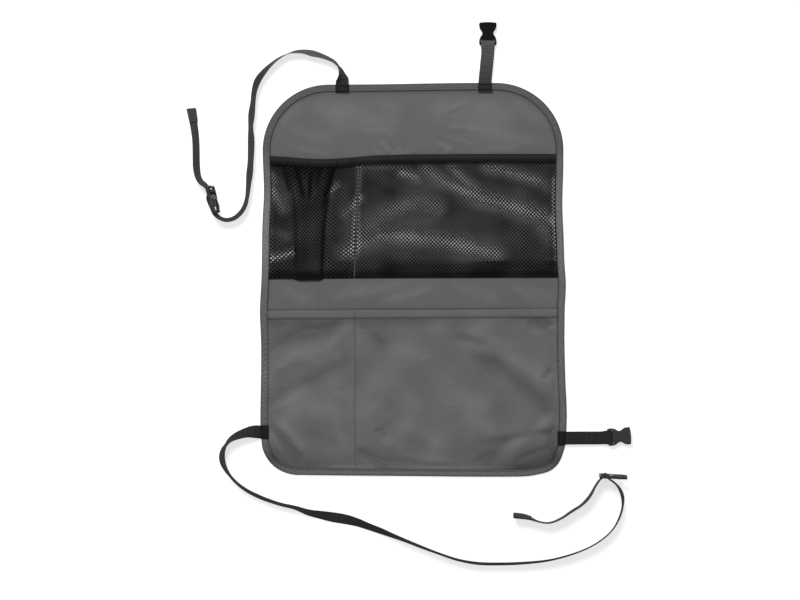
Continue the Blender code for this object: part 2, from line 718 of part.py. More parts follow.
def short_strap(name, finish, start, buckle):
    """Webbing looped round the female half's rod, with both ends sewn to the panel."""
    rod = buckle @ Vector((-FEMALE_LENGTH / 2 + ROD_X, 0, 0))
    pull = np.array(buckle.to_3x3() @ Vector((1, 0, 0)))
    loop_side = np.array([-pull[1], pull[0], 0.0])
    reach = ROD_RADIUS + GAP + WEBBING_THICKNESS / 2
    up = np.array([0.0, 0.0, 1.0])
    turns = np.radians(np.arange(-90, 91, LOOP_STEP))
    round_rod = [pull * math.cos(turn) + up * math.sin(turn) for turn in turns]
    loop = [np.array(rod) + reach * direction for direction in round_rod]
    inner, edge = np.array(start[0]), np.array(start[1])
    travel = unit(edge - inner)
    seam_side = np.array([-travel[1], travel[0], 0.0])
    low = SEAM_TOP + WEBBING_THICKNESS / 2
    far = np.array(rod)[:2]
    near_rod = far - pull[:2] * LOOP_TAPER * reach
    middle_run = (edge + near_rod) / 2
    lower, upper = [], []
    for plan, height in ((inner, low), (edge, low), (middle_run, (low + rod.z) / 2)):
        lower.append((*plan, height))
        upper.append((*plan, height + LAYER_PITCH))
    lower.append((*near_rod, rod.z - LAYER_PITCH / 2 - GAP))
    upper.append((*near_rod, rod.z + LAYER_PITCH / 2 + GAP))
    sides = [seam_side, seam_side, (seam_side + loop_side) / 2, loop_side]
    centres = np.vstack([lower, loop, upper[::-1]])
    widths = np.vstack([sides, [loop_side] * len(loop), sides[::-1]])
    return add_object(name, ribbon(*ribbon_frames(centres, widths)), finish)


# Buckles, each drawn lying along X with its prongs or its mouth at +X

def mirrored(half):
    """Close an outline whose points on one side are given from near end to far end."""
    return half + [(x, -y) for x, y in reversed(half)]


def ladder_positions():
    """X of the outer bar's, the slots' and the middle bar's edges, and of the base's end."""
    edges = [-MALE_LENGTH / 2]
    for length in (BAR_WIDTH, SLOT_LENGTH, BAR_WIDTH, SLOT_LENGTH, BASE_LENGTH):
        edges.append(edges[-1] + length)
    return edges


def threading_points():
    """The webbing's way under the base, over the middle bar and under the outer bar."""
    edges = ladder_positions()
    bar = (edges[2] + edges[3]) / 2
    clear = WEBBING_THICKNESS / 2 + THREAD_PLAY
    reach_x = BAR_WIDTH / 2 + clear
    reach_z = MALE_THICKNESS / 2 + clear
    under = [
        (reach_x + BEND_START + BEND_RUN, -reach_z - BEND_DROP),
        (reach_x + BEND_START, -reach_z + BEND_DROP),
    ]
    angles = np.radians((0, 30, 60, 90, 120, 150, 180))
    over = [(reach_x * math.cos(angle), reach_z * math.sin(angle)) for angle in angles]
    after = [(-x, z) for x, z in reversed(under)]
    return [(bar + x, 0.0, z) for x, z in under + over + after]


def male_outline():
    """Ladder frame, two bowed side prongs with catches, and a middle tongue."""
    half = MALE_WIDTH / 2
    end = MALE_LENGTH / 2
    base = ladder_positions()[5]
    corner = RAIL_WIDTH * 0.7
    neck = half - PRONG_BOW
    inner = neck - PRONG_WIDTH
    tip = half - PRONG_WIDTH - TIP_ROUND
    tongue = TONGUE_WIDTH / 2
    tongue_end = base + TONGUE_LENGTH
    frame = [
        (-end, half - corner), (-end + 0.3 * corner, half - 0.3 * corner), (-end + corner, half),
        (base - RAIL_WIDTH, half), (base, neck),
    ]
    prong_outside = [
        (PRONG_NECK_X, neck), (CATCH_X - PRONG_NECK_X, half - TIP_ROUND / 3), (CATCH_X, half),
        (CATCH_X + TIP_ROUND, half - HEAD_STEP / 2), (HEAD_X, half - HEAD_STEP),
    ]
    prong_tip = [
        (end - 2 * TIP_ROUND, tip + TIP_ROUND), (end - TIP_ROUND / 2, tip + TIP_ROUND / 3),
        (end, tip - TIP_ROUND), (end - TIP_ROUND, tip - 2 * TIP_ROUND),
        (end - 3 * TIP_ROUND, tip - 2.5 * TIP_ROUND),
    ]
    prong_inside = [
        (CATCH_X, tip - TIP_ROUND / 3), (CATCH_X / 2, inner), (base + 2 * TIP_ROUND, inner),
        (base + TIP_ROUND, inner - TIP_ROUND),
    ]
    middle_tongue = [
        (base + TIP_ROUND, tongue + TIP_ROUND), (base + 2 * TIP_ROUND, tongue),
        (tongue_end - TIP_ROUND, tongue), (tongue_end, tongue / 2),
    ]
    return mirrored(frame + prong_outside + prong_tip + prong_inside + middle_tongue)


def slot(low, high):
    half = WEBBING_WIDTH / 2 + SLOT_PLAY
    return [(low, -half), (high, -half), (high, half), (low, half)]


def male_buckle(name, finish, matrix):
    edges = ladder_positions()
    loops = [male_outline(), slot(edges[1], edges[2]), slot(edges[3], edges[4])]
    plate = prism(loops, -MALE_THICKNESS / 2, MALE_THICKNESS / 2)
    item = add_object(name, plate, finish, matrix)
    bevel_edges(item, MALE_BEVEL)
    return item


def male_matrix(exit_point, place):
    """Where a male half lies: on one edge, rolled about its length and pitched."""
    x, y, heading, roll, pitch = place
    heading, roll, pitch = (math.radians(angle) for angle in (heading, roll, pitch))
    flat = Vector((math.cos(heading), math.sin(heading), 0))
    along = flat * math.cos(pitch) + Vector((0, 0, math.sin(pitch)))
    left_of_travel = Vector((flat.y, -flat.x, 0))
    width = left_of_travel * math.cos(roll) + Vector((0, 0, math.sin(roll)))
    width = (width - along * width.dot(along)).normalized()
    across = -width
    up = along.cross(across)
    sizes = (MALE_LENGTH, MALE_WIDTH, MALE_THICKNESS)
    height = sum(abs(axis.z) * size for axis, size in zip((along, across, up), sizes)) / 2
    turned = Matrix((along, across, up)).transposed().to_4x4()
    return Matrix.Translation((exit_point[0] + x * MM, exit_point[1] + y * MM, height)) @ turned


def female_outline():
    """Round ears, a waist and a wide mouth with a slightly curved end."""
    half = FEMALE_WIDTH / 2
    end = FEMALE_LENGTH / 2
    depth = (FEMALE_WIDTH - FEMALE_WAIST) / 2
    near = -end + EAR_ROUND
    points = [
        (-end, half - EAR_ROUND), (-end + 0.2 * EAR_ROUND, half - 0.45 * EAR_ROUND),
        (-end + 0.7 * EAR_ROUND, half - 0.1 * EAR_ROUND),
    ]
    for step in range(WAIST_STEPS + 1):
        x = line_at(near + MOUTH_ROUND, end - MOUTH_ROUND, step / WAIST_STEPS)
        points.append((x, half - depth * math.exp(-(((x - WAIST_X) / WAIST_SPREAD) ** 2))))
    points += [(end - 0.4 * MOUTH_ROUND, half - 0.2 * MOUTH_ROUND), (end, half - 0.7 * MOUTH_ROUND)]
    points += [(end + MOUTH_CURVE * 0.75, half * 0.5), (end + MOUTH_CURVE, half * 0.15)]
    return mirrored(points)


def female_buckle(name, finish, matrix):
    """A hollow body open at its mouth and at its waist, and a rod between two ears."""
    half_high = FEMALE_HEIGHT / 2
    end = FEMALE_LENGTH / 2
    item = add_object(name, prism([female_outline()], -half_high, half_high), finish, matrix)
    bevel_edges(item, FEMALE_BEVEL)
    socket_half = FEMALE_WIDTH / 2 - FEMALE_WALL - SOCKET_PLAY
    body = -end + EYE_LENGTH
    low = (body + FEMALE_WALL, -socket_half, -SOCKET_HEIGHT / 2)
    high = (end + CUT_BEYOND, socket_half, SOCKET_HEIGHT / 2)
    add_cutter(item, name + "_socket", box(low, high))
    eye_half = WEBBING_WIDTH / 2 + EYE_PLAY
    low = (-end - CUT_BEYOND, -eye_half, -half_high - CUT_BEYOND)
    high = (body, eye_half, half_high + CUT_BEYOND)
    add_cutter(item, name + "_eye", box(low, high))
    rod = bmesh.new()
    lay = Matrix.Translation((-end + ROD_X, 0, 0)) @ Matrix.Rotation(math.radians(90), 4, "X")
    bmesh.ops.create_cone(
        rod, cap_ends=True, segments=ROD_SEGMENTS, radius1=ROD_RADIUS, radius2=ROD_RADIUS,
        depth=2 * (eye_half + RAIL_WIDTH / 2), matrix=lay,
    )
    add_cutter(item, name + "_rod", rod, "UNION")
    return item


def female_matrix(exit_point, x, y, heading):
    there = Matrix.Translation((exit_point[0] + x, exit_point[1] + y, FEMALE_HEIGHT / 2))
    return there @ Matrix.Rotation(math.radians(heading), 4, "Z")


# Where each strap starts: its sewn end over the panel, and where it leaves the edge

def start_at_top(x):
    return (x, top_y(x, STRAP_LAP)), (x, top_y(x, 0.0))


def start_at_side(side, y):
    return (side_x(side, y, STRAP_LAP), y), (side_x(side, y, 0.0), y)


def build():
    clear_scene()
    cloth = material("grey_cloth", (0.118, 0.118, 0.118), 0.85)
    tape = material("grey_tape", (0.140, 0.140, 0.138), 0.85)
    net = material("black_net", (0.030, 0.030, 0.030), 0.70)
    elastic = material("black_elastic", (0.020, 0.020, 0.020), 0.80)
    webbing = material("dark_webbing", (0.036, 0.035, 0.034), 0.75)
    plastic = material("black_plastic", (0.022, 0.022, 0.022), 0.40)

    back_panel(cloth)
    edge_binding(tape)
    mesh_pocket(net)
    mesh_pocket_band(elastic)
    lower_pocket(cloth)

    upper_start = start_at_top(UPPER_LONG_STRAP_X)
    lower_start = start_at_side(-1, LOWER_LONG_STRAP_RISE - PANEL_HEIGHT / 2)
    upper_male = male_matrix(upper_start[1], UPPER_BUCKLE)
    lower_male = male_matrix(lower_start[1], LOWER_BUCKLE)
    male_buckle("upper_male_buckle", plastic, upper_male)
    male_buckle("lower_male_buckle", plastic, lower_male)
    long_strap("upper_long_strap", webbing, upper_start, UPPER_ROUTE, upper_male, UPPER_TAIL)
    long_strap("lower_long_strap", webbing, lower_start, LOWER_ROUTE, lower_male, LOWER_TAIL)

    upper_short = start_at_top(UPPER_SHORT_STRAP_X)
    lower_short = start_at_side(1, LOWER_SHORT_STRAP_RISE - PANEL_HEIGHT / 2)
    upper_female = female_matrix(upper_short[1], UPPER_FEMALE_X, UPPER_FEMALE_Y, UPPER_FEMALE_HEADING)
    lower_female = female_matrix(lower_short[1], LOWER_FEMALE_X, LOWER_FEMALE_Y, LOWER_FEMALE_HEADING)
    female_buckle("upper_female_buckle", plastic, upper_female)
    female_buckle("lower_female_buckle", plastic, lower_female)
    short_strap("upper_short_strap", webbing, upper_short, upper_female)
    short_strap("lower_short_strap", webbing, lower_short, lower_female)


build()
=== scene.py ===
import math

import bpy
import numpy as np
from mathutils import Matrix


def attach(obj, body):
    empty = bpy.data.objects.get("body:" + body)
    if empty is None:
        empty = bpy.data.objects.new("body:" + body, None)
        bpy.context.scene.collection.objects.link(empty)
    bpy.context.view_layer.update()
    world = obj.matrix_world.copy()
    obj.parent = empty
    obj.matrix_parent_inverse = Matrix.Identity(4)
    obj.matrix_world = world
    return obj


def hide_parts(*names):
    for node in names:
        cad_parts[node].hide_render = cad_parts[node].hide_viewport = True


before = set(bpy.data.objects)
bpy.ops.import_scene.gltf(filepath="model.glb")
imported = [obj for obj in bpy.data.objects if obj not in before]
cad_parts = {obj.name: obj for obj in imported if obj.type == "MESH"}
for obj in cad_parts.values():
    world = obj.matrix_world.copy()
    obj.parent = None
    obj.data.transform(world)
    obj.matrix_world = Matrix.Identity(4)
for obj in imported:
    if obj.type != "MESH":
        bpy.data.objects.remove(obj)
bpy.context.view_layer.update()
mm = 0.001


# camera: straight above, one pixel of the 800 x 600 picture is 1.5 mm on the floor

cameraView = {"middle": (-0.0195, -0.03045), "height": 8.0, "acrossView": 1.2, "sensor": 36.0}


def addCamera(view):
    data = bpy.data.cameras.new("camera")
    data.sensor_width = view["sensor"]
    data.lens = view["sensor"] * view["height"] / view["acrossView"]
    camera = bpy.data.objects.new("camera", data)
    camera.location = (*view["middle"], view["height"])
    bpy.context.scene.collection.objects.link(camera)
    bpy.context.scene.camera = camera


addCamera(cameraView)


# shader maths written as expressions

class Wire:
    # one shader socket: + - * on it add Math nodes
    def __init__(self, finish, socket):
        self.finish = finish
        self.socket = socket

    def maths(self, operation, *values):
        return self.finish.add("ShaderNodeMath", {"operation": operation}, dict(enumerate(values)))

    def __add__(self, other):
        return self.maths("ADD", self, other)

    def __sub__(self, other):
        return self.maths("SUBTRACT", self, other)

    def __rsub__(self, other):
        return self.maths("SUBTRACT", other, self)

    def __mul__(self, other):
        return self.maths("MULTIPLY", self, other)

    __radd__ = __add__
    __rmul__ = __mul__

    def sine(self):
        return self.maths("SINE", self)

    def size(self):
        return self.maths("ABSOLUTE", self)

    def above(self, limit):
        return self.maths("GREATER_THAN", self, limit)


class Finish:
    # a material: a Principled shader and the nodes that feed it
    def __init__(self, name, colour, roughness, **constants):
        self.material = bpy.data.materials.new(name)
        self.material.use_nodes = True
        self.material.diffuse_color = (*colour, 1)
        self.tree = self.material.node_tree
        self.shader = self.tree.nodes["Principled BSDF"]
        self.put(self.shader.inputs["Base Color"], (*colour, 1))
        self.put(self.shader.inputs["Roughness"], roughness)
        for socket, value in constants.items():
            self.put(self.shader.inputs[socket.replace("_", " ")], value)

    def put(self, socket, value):
        if isinstance(value, Wire):
            self.tree.links.new(value.socket, socket)
        else:
            socket.default_value = value

    def add(self, kind, settings, inputs, output=0):
        node = self.tree.nodes.new(kind)
        for key, value in settings.items():
            setattr(node, key, value)
        for key, value in inputs.items():
            self.put(node.inputs[key], value)
        return Wire(self, node.outputs[output])

    def place(self, uvMap=None):
        # position in metres: of the object, or of the piece's own map along and across the cloth
        if uvMap:
            vector = self.add("ShaderNodeUVMap", {"uv_map": uvMap}, {})
        else:
            vector = self.add("ShaderNodeTexCoord", {}, {}, "Object")
        split = self.tree.nodes.new("ShaderNodeSeparateXYZ")
        self.put(split.inputs[0], vector)
        return vector, [Wire(self, output) for output in split.outputs]

    def noise(self, vector, scale, stretch=(1, 1, 1), detail=2.0):
        mapped = self.add("ShaderNodeMapping", {}, {"Vector": vector, "Scale": stretch})
        inputs = {"Vector": mapped, "Scale": scale, "Detail": detail}
        return self.add("ShaderNodeTexNoise", {"normalize": True}, inputs)

    def shade(self, colour, factor):
        # base colour: the colour times a factor that is near one
        mixed = self.add("ShaderNodeMix", {"data_type": "RGBA", "blend_type": "MULTIPLY"},
                         {0: 1.0, 6: (*colour, 1), 7: factor}, 2)
        self.put(self.shader.inputs["Base Color"], mixed)

    def light(self):
        # painted light and shade: the factor that the mesh holds at each point
        return self.add("ShaderNodeAttribute", {"attribute_name": "light"}, {}, "Fac")

    def bump(self, height, strength, distance):
        wired = {"Strength": strength, "Distance": distance, "Height": height}
        self.put(self.shader.inputs["Normal"], self.add("ShaderNodeBump", {}, wired))


def wovenCloth(name, colour, pitch):
    # plain weave: warp and weft threads take turns on top, with slubs and a faint mottle, times
    # the painted light and shade that the mesh holds
    finish = Finish(name, colour, 0.88, Sheen_Weight=0.05, Sheen_Roughness=0.6, Specular_IOR_Level=0.1)
    vector, (x, y, _) = finish.place()
    turn = math.pi / pitch
    acrossWave, alongWave = (x * turn).sine(), (y * turn).sine()
    onTop = (acrossWave * alongWave).above(0.0)
    thread = acrossWave.size() * onTop + alongWave.size() * (1 - onTop)
    weft = finish.noise(vector, 1.0, (90, 800, 90))
    warp = finish.noise(vector, 1.0, (800, 120, 120))
    grain = finish.noise(vector, 900, detail=1.0)
    mottle = finish.noise(vector, 14, detail=3.0)
    shade = 0.54 + weft * 0.30 + warp * 0.12 + grain * 0.22 + mottle * 0.20 + thread * 0.06
    finish.shade(colour, shade * finish.light())
    finish.bump(thread + grain * 0.8, 0.5, 0.00018)
    return finish.material


def ribbedTape(name, colour, pitch, contrast, ribDepth=0.12):
    # ribs across the tape, some lighter than others, a heather of lighter and darker yarns and finer
    # threads along it, times the painted light and shade that the mesh holds
    finish = Finish(name, colour, 0.85, Sheen_Weight=0.05, Sheen_Roughness=0.5, Specular_IOR_Level=0.12)
    vector, (along, across, _) = finish.place("along")
    rib = (along * (math.pi / pitch)).sine().size()
    cord = (across * (math.pi / (pitch * 0.8))).sine().size()
    heather = finish.noise(vector, 1.0, (1400, 500, 1), detail=2.0)
    broad = finish.noise(vector, 60, detail=2.0)
    patch = finish.noise(vector, 1.0, (560, 420, 1), detail=1.0)
    slub = finish.noise(vector, 1.0, (520, 14, 1), detail=1.0) - 0.5
    shade = 0.74 - ribDepth + rib * ribDepth + (heather + patch * 1.4 - 1.0) * contrast + broad * 0.12
    finish.shade(colour, (shade + slub * ribDepth * 4.0) * finish.light())
    finish.bump(rib + cord * 0.4 + heather * 0.5, 0.6, 0.00022)
    return finish.material


def yarn(name, colour, pitch, roughness=0.6, lit=False):
    # a twisted yarn: slanting strands round the thread; where lit is set, the painted light and shade that
    # the mesh holds change it
    finish = Finish(name, colour, roughness, Specular_IOR_Level=0.06)
    vector, (x, y, z) = finish.place()
    strand = ((x + y + z) * (math.pi / pitch)).sine().size()
    fuzz = finish.noise(vector, 2500, detail=1.0)
    shade = 0.7 + strand * 0.25 + fuzz * 0.2
    finish.shade(colour, shade * finish.light() if lit else shade)
    finish.bump(strand + fuzz * 0.5, 0.4, 0.0001)
    return finish.material


def mouldedPlastic(name, colour, roughness, shine):
    # satin plastic with a fine spark-eroded grain and slightly worn sheen
    finish = Finish(name, colour, roughness, Specular_IOR_Level=shine)
    vector = finish.place()[0]
    grain = finish.noise(vector, 4500, detail=1.0)
    wear = finish.noise(vector, 160, detail=3.0)
    finish.shade(colour, 0.85 + wear * 0.3)
    finish.put(finish.shader.inputs["Roughness"], roughness - 0.10 + wear * 0.2)
    finish.bump(grain, 0.25, 0.00005)
    return finish.material


panelCloth = wovenCloth("panelCloth", (0.113, 0.113, 0.113), 0.00045)
pocketCloth = wovenCloth("pocketCloth", (0.124, 0.124, 0.124), 0.00045)
bindingTape = ribbedTape("bindingTape", (0.124, 0.124, 0.122), 0.0011, 0.8)
netYarn = yarn("netYarn", (0.033, 0.033, 0.033), 0.0004, 0.5, lit=True)
elasticTape = ribbedTape("elasticTape", (0.015, 0.015, 0.015), 0.0008, 0.3)
webbing = ribbedTape("webbing", (0.025, 0.024, 0.023), 0.00168, 0.5, 0.3)
# the same webbing in a lighter grey, used for the upper straps
paleWebbing = ribbedTape("paleWebbing", (0.072, 0.070, 0.066), 0.00168, 0.5, 0.3)
seamThread = yarn("seamThread", (0.075, 0.075, 0.075), 0.0003)
paleThread = yarn("paleThread", (0.25, 0.25, 0.245), 0.0003)
darkThread = yarn("darkThread", (0.012, 0.012, 0.012), 0.0003)
blackPlastic = mouldedPlastic("blackPlastic", (0.004, 0.004, 0.004), 0.5, 0.06)
greyPlastic = mouldedPlastic("greyPlastic", (0.026, 0.026, 0.026), 0.42, 0.3)
print("materials made")


# meshes from arrays

def addPiece(name, points, faceSets, finish, uv=None, light=None):
    # points: n x 3. faceSets: arrays of faces, each of one corner count. uv: one pair for each corner.
    # light: painted light and shade, one factor for each point
    mesh = bpy.data.meshes.new(name)
    corners = np.concatenate([faces.ravel() for faces in faceSets])
    counts = np.concatenate([np.full(len(faces), faces.shape[1]) for faces in faceSets])
    starts = np.concatenate([[0], np.cumsum(counts)[:-1]])
    mesh.vertices.add(len(points))
    mesh.vertices.foreach_set("co", np.asarray(points, dtype=np.float32).ravel())
    mesh.loops.add(len(corners))
    mesh.loops.foreach_set("vertex_index", corners.astype(np.int32))
    mesh.polygons.add(len(counts))
    mesh.polygons.foreach_set("loop_start", starts.astype(np.int32))
    mesh.polygons.foreach_set("use_smooth", np.ones(len(counts), dtype=bool))
    if uv is not None:
        layer = mesh.uv_layers.new(name="along")
        layer.data.foreach_set("uv", np.asarray(uv, dtype=np.float32).ravel())
    if light is not None:
        layer = mesh.attributes.new("light", "FLOAT", "POINT")
        layer.data.foreach_set("value", light.astype(np.float32).ravel())
    mesh.update(calc_edges=True)
    mesh.validate()
    mesh.materials.append(finish)
    piece = bpy.data.objects.new(name, mesh)
    bpy.context.scene.collection.objects.link(piece)
    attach(piece, "root")
    return piece


def gridCells(rows, columns, roundRows=False, roundColumns=False):
    # row and column numbers of each cell's four corners, one past the end where the grid closes
    j, i = np.indices((rows - 1 + roundRows, columns - 1 + roundColumns)).reshape(2, -1, 1)
    return j + np.array([0, 0, 1, 1]), i + np.array([0, 1, 1, 0])


def gridPiece(name, points, finish, light, uv=None,
              roundRows=False, roundColumns=False, capped=False):
    # points: rows x columns x 3, a surface of two parameters; uv may have a row or column more
    rows, columns = points.shape[:2]
    j, i = gridCells(rows, columns, roundRows, roundColumns)
    faces = (j % rows) * columns + i % columns
    loops = None if uv is None else uv[j, i].reshape(-1, 2)
    faceSets = [faces]
    if capped:
        first = np.arange(columns)[::-1][None, :]
        faceSets += [first, first[:, ::-1] + (rows - 1) * columns]
        if loops is not None:
            ends = np.vstack([uv[0, :columns][::-1], uv[-1, :columns]])
            loops = np.vstack([loops, ends])
    return addPiece(name, points.reshape(-1, 3), faceSets, finish, loops, light)


def lengthMap(along, across):
    # the uv of a grid: length along the piece for each row, length across it for each column
    return np.stack(np.broadcast_arrays(along[:, None], across[None, :]), 2)


def thicken(piece, thickness):
    # half of the thickness on each side of the surface
    modifier = piece.modifiers.new("thickness", "SOLIDIFY")
    modifier.thickness = thickness
    modifier.offset = 0.0
    modifier.use_even_offset = True
    return piece


def unit(vectors):
    return vectors / np.linalg.norm(vectors, axis=-1, keepdims=True)


def smoothStep(value):
    share = np.clip(value, 0, 1)
    return share * share * (3 - 2 * share)


def ramp(value, start, width):
    # 0 up to the start and 1 from one width past it; either of the first two may be the one that varies
    return smoothStep((value - start) / width)


def between(low, high, share):
    return low + (high - low) * share


def bell(value, width):
    # 1 at zero, falling off on both sides
    return np.exp(-(value / width) ** 2)


def lengthsAlong(points):
    # distance from the first point, along the line through them
    steps = np.linalg.norm(np.diff(points, axis=0), axis=1)
    return np.concatenate([[0], np.cumsum(steps)])


# outline of the panel: four sides and four arcs, in the CAD's own sizes

panelSizes = {
    "topWidth": 0.4496, "bottomWidth": 0.4578, "height": 0.5867, "sideDifference": 0.0029,
    "topRadius": 0.099, "bottomRadius": 0.057, "cloth": 0.0010, "bindingWidth": 0.0102,
    "tape": 0.0008, "gap": 0.0003, "rimMargin": 0.0018, "rimSlope": 0.004,
}
rimLift = panelSizes["tape"] + panelSizes["gap"]
bindingTop = rimLift + panelSizes["cloth"] + panelSizes["gap"] + panelSizes["tape"]
seamTop = bindingTop + panelSizes["gap"] + 0.0002
pocketInset = panelSizes["bindingWidth"] + panelSizes["gap"]


def panelCorners(sizes):
    # four corners before rounding, from the top right one round to the left, and their radii
    tall = (sizes["height"] + sizes["sideDifference"]) / 2
    short = (sizes["height"] - sizes["sideDifference"]) / 2
    top, bottom = sizes["topWidth"] / 2, sizes["bottomWidth"] / 2
    radii = [sizes["topRadius"], sizes["topRadius"], sizes["bottomRadius"], sizes["bottomRadius"]]
    return np.array([[top, tall], [-top, short], [-bottom, -short], [bottom, -tall]]), np.array(radii)


def panelArcs(corners, radii):
    # centre, first angle and last angle of the arc that rounds each corner, and the outward normal
    # of the side after it
    edges = unit(np.roll(corners, -1, 0) - corners)
    out = np.stack([edges[:, 1], -edges[:, 0]], 1)
    before = np.roll(out, 1, 0)
    spread = 1 + np.sum(before * out, axis=1)
    centres = corners - (before + out) * (radii / spread)[:, None]
    first = np.arctan2(before[:, 1], before[:, 0])
    last = np.arctan2(out[:, 1], out[:, 0])
    return centres, first, np.where(last < first, last + 2 * math.pi, last), out


cornerPoints, cornerRadii = panelCorners(panelSizes)
arcCentres, arcFirst, arcLast, sideNormals = panelArcs(cornerPoints, cornerRadii)


def outlineAt(step):
    # points evenly along the outline, with their inward normals, and its length
    points, normals = [], []
    for centre, radius, first, last in zip(arcCentres, cornerRadii, arcFirst, arcLast):
        angles = np.linspace(first, last, 181)
        out = np.stack([np.cos(angles), np.sin(angles)], 1)
        points.append(centre + radius * out)
        normals.append(-out)
    points, normals = np.vstack(points + [points[0][:1]]), np.vstack(normals + [normals[0][:1]])
    reach = lengthsAlong(points)
    count = int(round(reach[-1] / step))
    at = np.arange(count) * reach[-1] / count
    even = [np.interp(at, reach, values[:, axis]) for values in (points, normals) for axis in (0, 1)]
    return np.stack(even[:2], 1), unit(np.stack(even[2:], 1)), at, reach[-1]


def insetOf(x, y):
    # how far points inside the panel are from its outline
    inside = np.full(np.shape(x), 1.0)
    for corner, normal in zip(cornerPoints, sideNormals):
        inside = np.minimum(inside, -((x - corner[0]) * normal[0] + (y - corner[1]) * normal[1]))
    for centre, radius, first, last in zip(arcCentres, cornerRadii, arcFirst, arcLast):
        angle = np.arctan2(y - centre[1], x - centre[0])
        angle = np.where(angle < first - 1e-6, angle + 2 * math.pi, angle)
        depth = radius - np.hypot(x - centre[0], y - centre[1])
        inside = np.where((angle >= first) & (angle <= last), np.minimum(inside, depth), inside)
    return inside


def arcEnd(corner, angle, inset):
    # the point of a corner's arc at an angle, moved inward
    reach = cornerRadii[corner] - inset
    return arcCentres[corner] + reach * np.array([math.cos(angle), math.sin(angle)])


def sideX(side, y, inset):
    # the inset outline's left (-1) or right (1) edge at height y, round its corners too
    low = arcEnd(3, arcLast[3], inset) if side > 0 else arcEnd(2, arcFirst[2], inset)
    high = arcEnd(0, arcFirst[0], inset) if side > 0 else arcEnd(1, arcLast[1], inset)
    x = low[0] + (high[0] - low[0]) * (y - low[1]) / (high[1] - low[1])
    for corner, beyond in ((0 if side > 0 else 1, y - high[1]), (3 if side > 0 else 2, low[1] - y)):
        centre, reach = arcCentres[corner], cornerRadii[corner] - inset
        rise = np.clip(y - centre[1], -reach, reach)
        x = np.where(beyond > 0, centre[0] + side * np.sqrt(np.maximum(reach**2 - rise**2, 0)), x)
    return x


def topY(x, inset):
    # the inset outline's upper edge at x
    right, left = arcEnd(0, arcLast[0], inset), arcEnd(1, arcFirst[1], inset)
    return left[1] + (right[1] - left[1]) * (x - left[0]) / (right[0] - left[0])


def panelTop(x, y):
    # height of the panel's front, lifted along its rim where the tape lies under it
    edge = panelSizes["bindingWidth"] + panelSizes["rimMargin"] + panelSizes["rimSlope"]
    return panelSizes["cloth"] + rimLift * np.clip((edge - insetOf(x, y)) / panelSizes["rimSlope"], 0, 1)


# how the sewn panel is drawn in and let out at its edges: side, place along it, amount outward
# at the edge and width, in millimetres
edgePulls = [
    ("left", 132, -2.4, 38), ("left", -46, 2.4, 36), ("left", -205, 0.6, 50), ("right", 112, -2.1, 42),
    ("right", -8, 2.3, 27), ("right", -200, 2.4, 42), ("right", -92, -0.4, 20), ("right", -277, 3.0, 14),
    ("left", -238, -1.5, 12), ("bottom", 208, 2.0, 12), ("bottom", 182, -1.2, 14), ("left", -281, 1.0, 12),
    ("top", 40, 0.9, 60), ("top", 110, 0.9, 50), ("bottom", 90, 1.4, 110), ("bottom", -90, 0.9, 110),
]
# axis, direction and distance from the middle of each side
edgeSides = {
    "left": (0, -1, 0.2266), "right": (0, 1, 0.2266), "top": (1, 1, 0.2934), "bottom": (1, -1, 0.2934),
}


def settled(points):
    # the sewn piece's points moved with the panel's edges, less and less towards its middle
    points = np.array(points, dtype=float)
    flat = points[..., :2].copy()
    for side, place, amount, width in edgePulls:
        axis, sign, reach = edgeSides[side]
        share = np.clip(sign * flat[..., axis] / reach, 0, 1) ** 2
        points[..., axis] += sign * amount * mm * share * bell(flat[..., 1 - axis] / mm - place, width)
    return points


# relief of the cloth

def foldsAt(x, y, folds):
    # sum of soft ridges (or valleys, where the height is negative): a bell across each straight run,
    # level along its middle and fading towards both its ends; millimetres in the lists
    total = np.zeros(np.shape(x))
    for x0, y0, x1, y1, width, height in folds:
        length = math.hypot(x1 - x0, y1 - y0)
        ux, uy = (x1 - x0) / length, (y1 - y0) / length
        along = ((x / mm - x0) * ux + (y / mm - y0) * uy) / length
        across = (y / mm - y0) * ux - (x / mm - x0) * uy
        fade = bell(np.maximum(np.abs(along - 0.5) - 0.28, 0), 0.2)
        total += height * mm * bell(across, width) * fade
    return total


def foldLight(relief, reach):
    # painted shade in the cloth's valleys and painted highlights on its ridges
    return 1 + np.clip(relief / reach, -1.2, 1.0) * 0.19


def swell(x, y, seed, wavelength, height, count=9):
    # slow waves in all directions, the same each time
    random = np.random.default_rng(seed)
    total = np.zeros(np.shape(x))
    for angle, phase, stretch in zip(*random.random((3, count))):
        turn = 2 * math.pi / (wavelength * (0.7 + 0.8 * stretch))
        direction = angle * math.pi
        total += np.sin(turn * (x * math.cos(direction) + y * math.sin(direction)) + phase * 2 * math.pi)
    return height * total / math.sqrt(count)
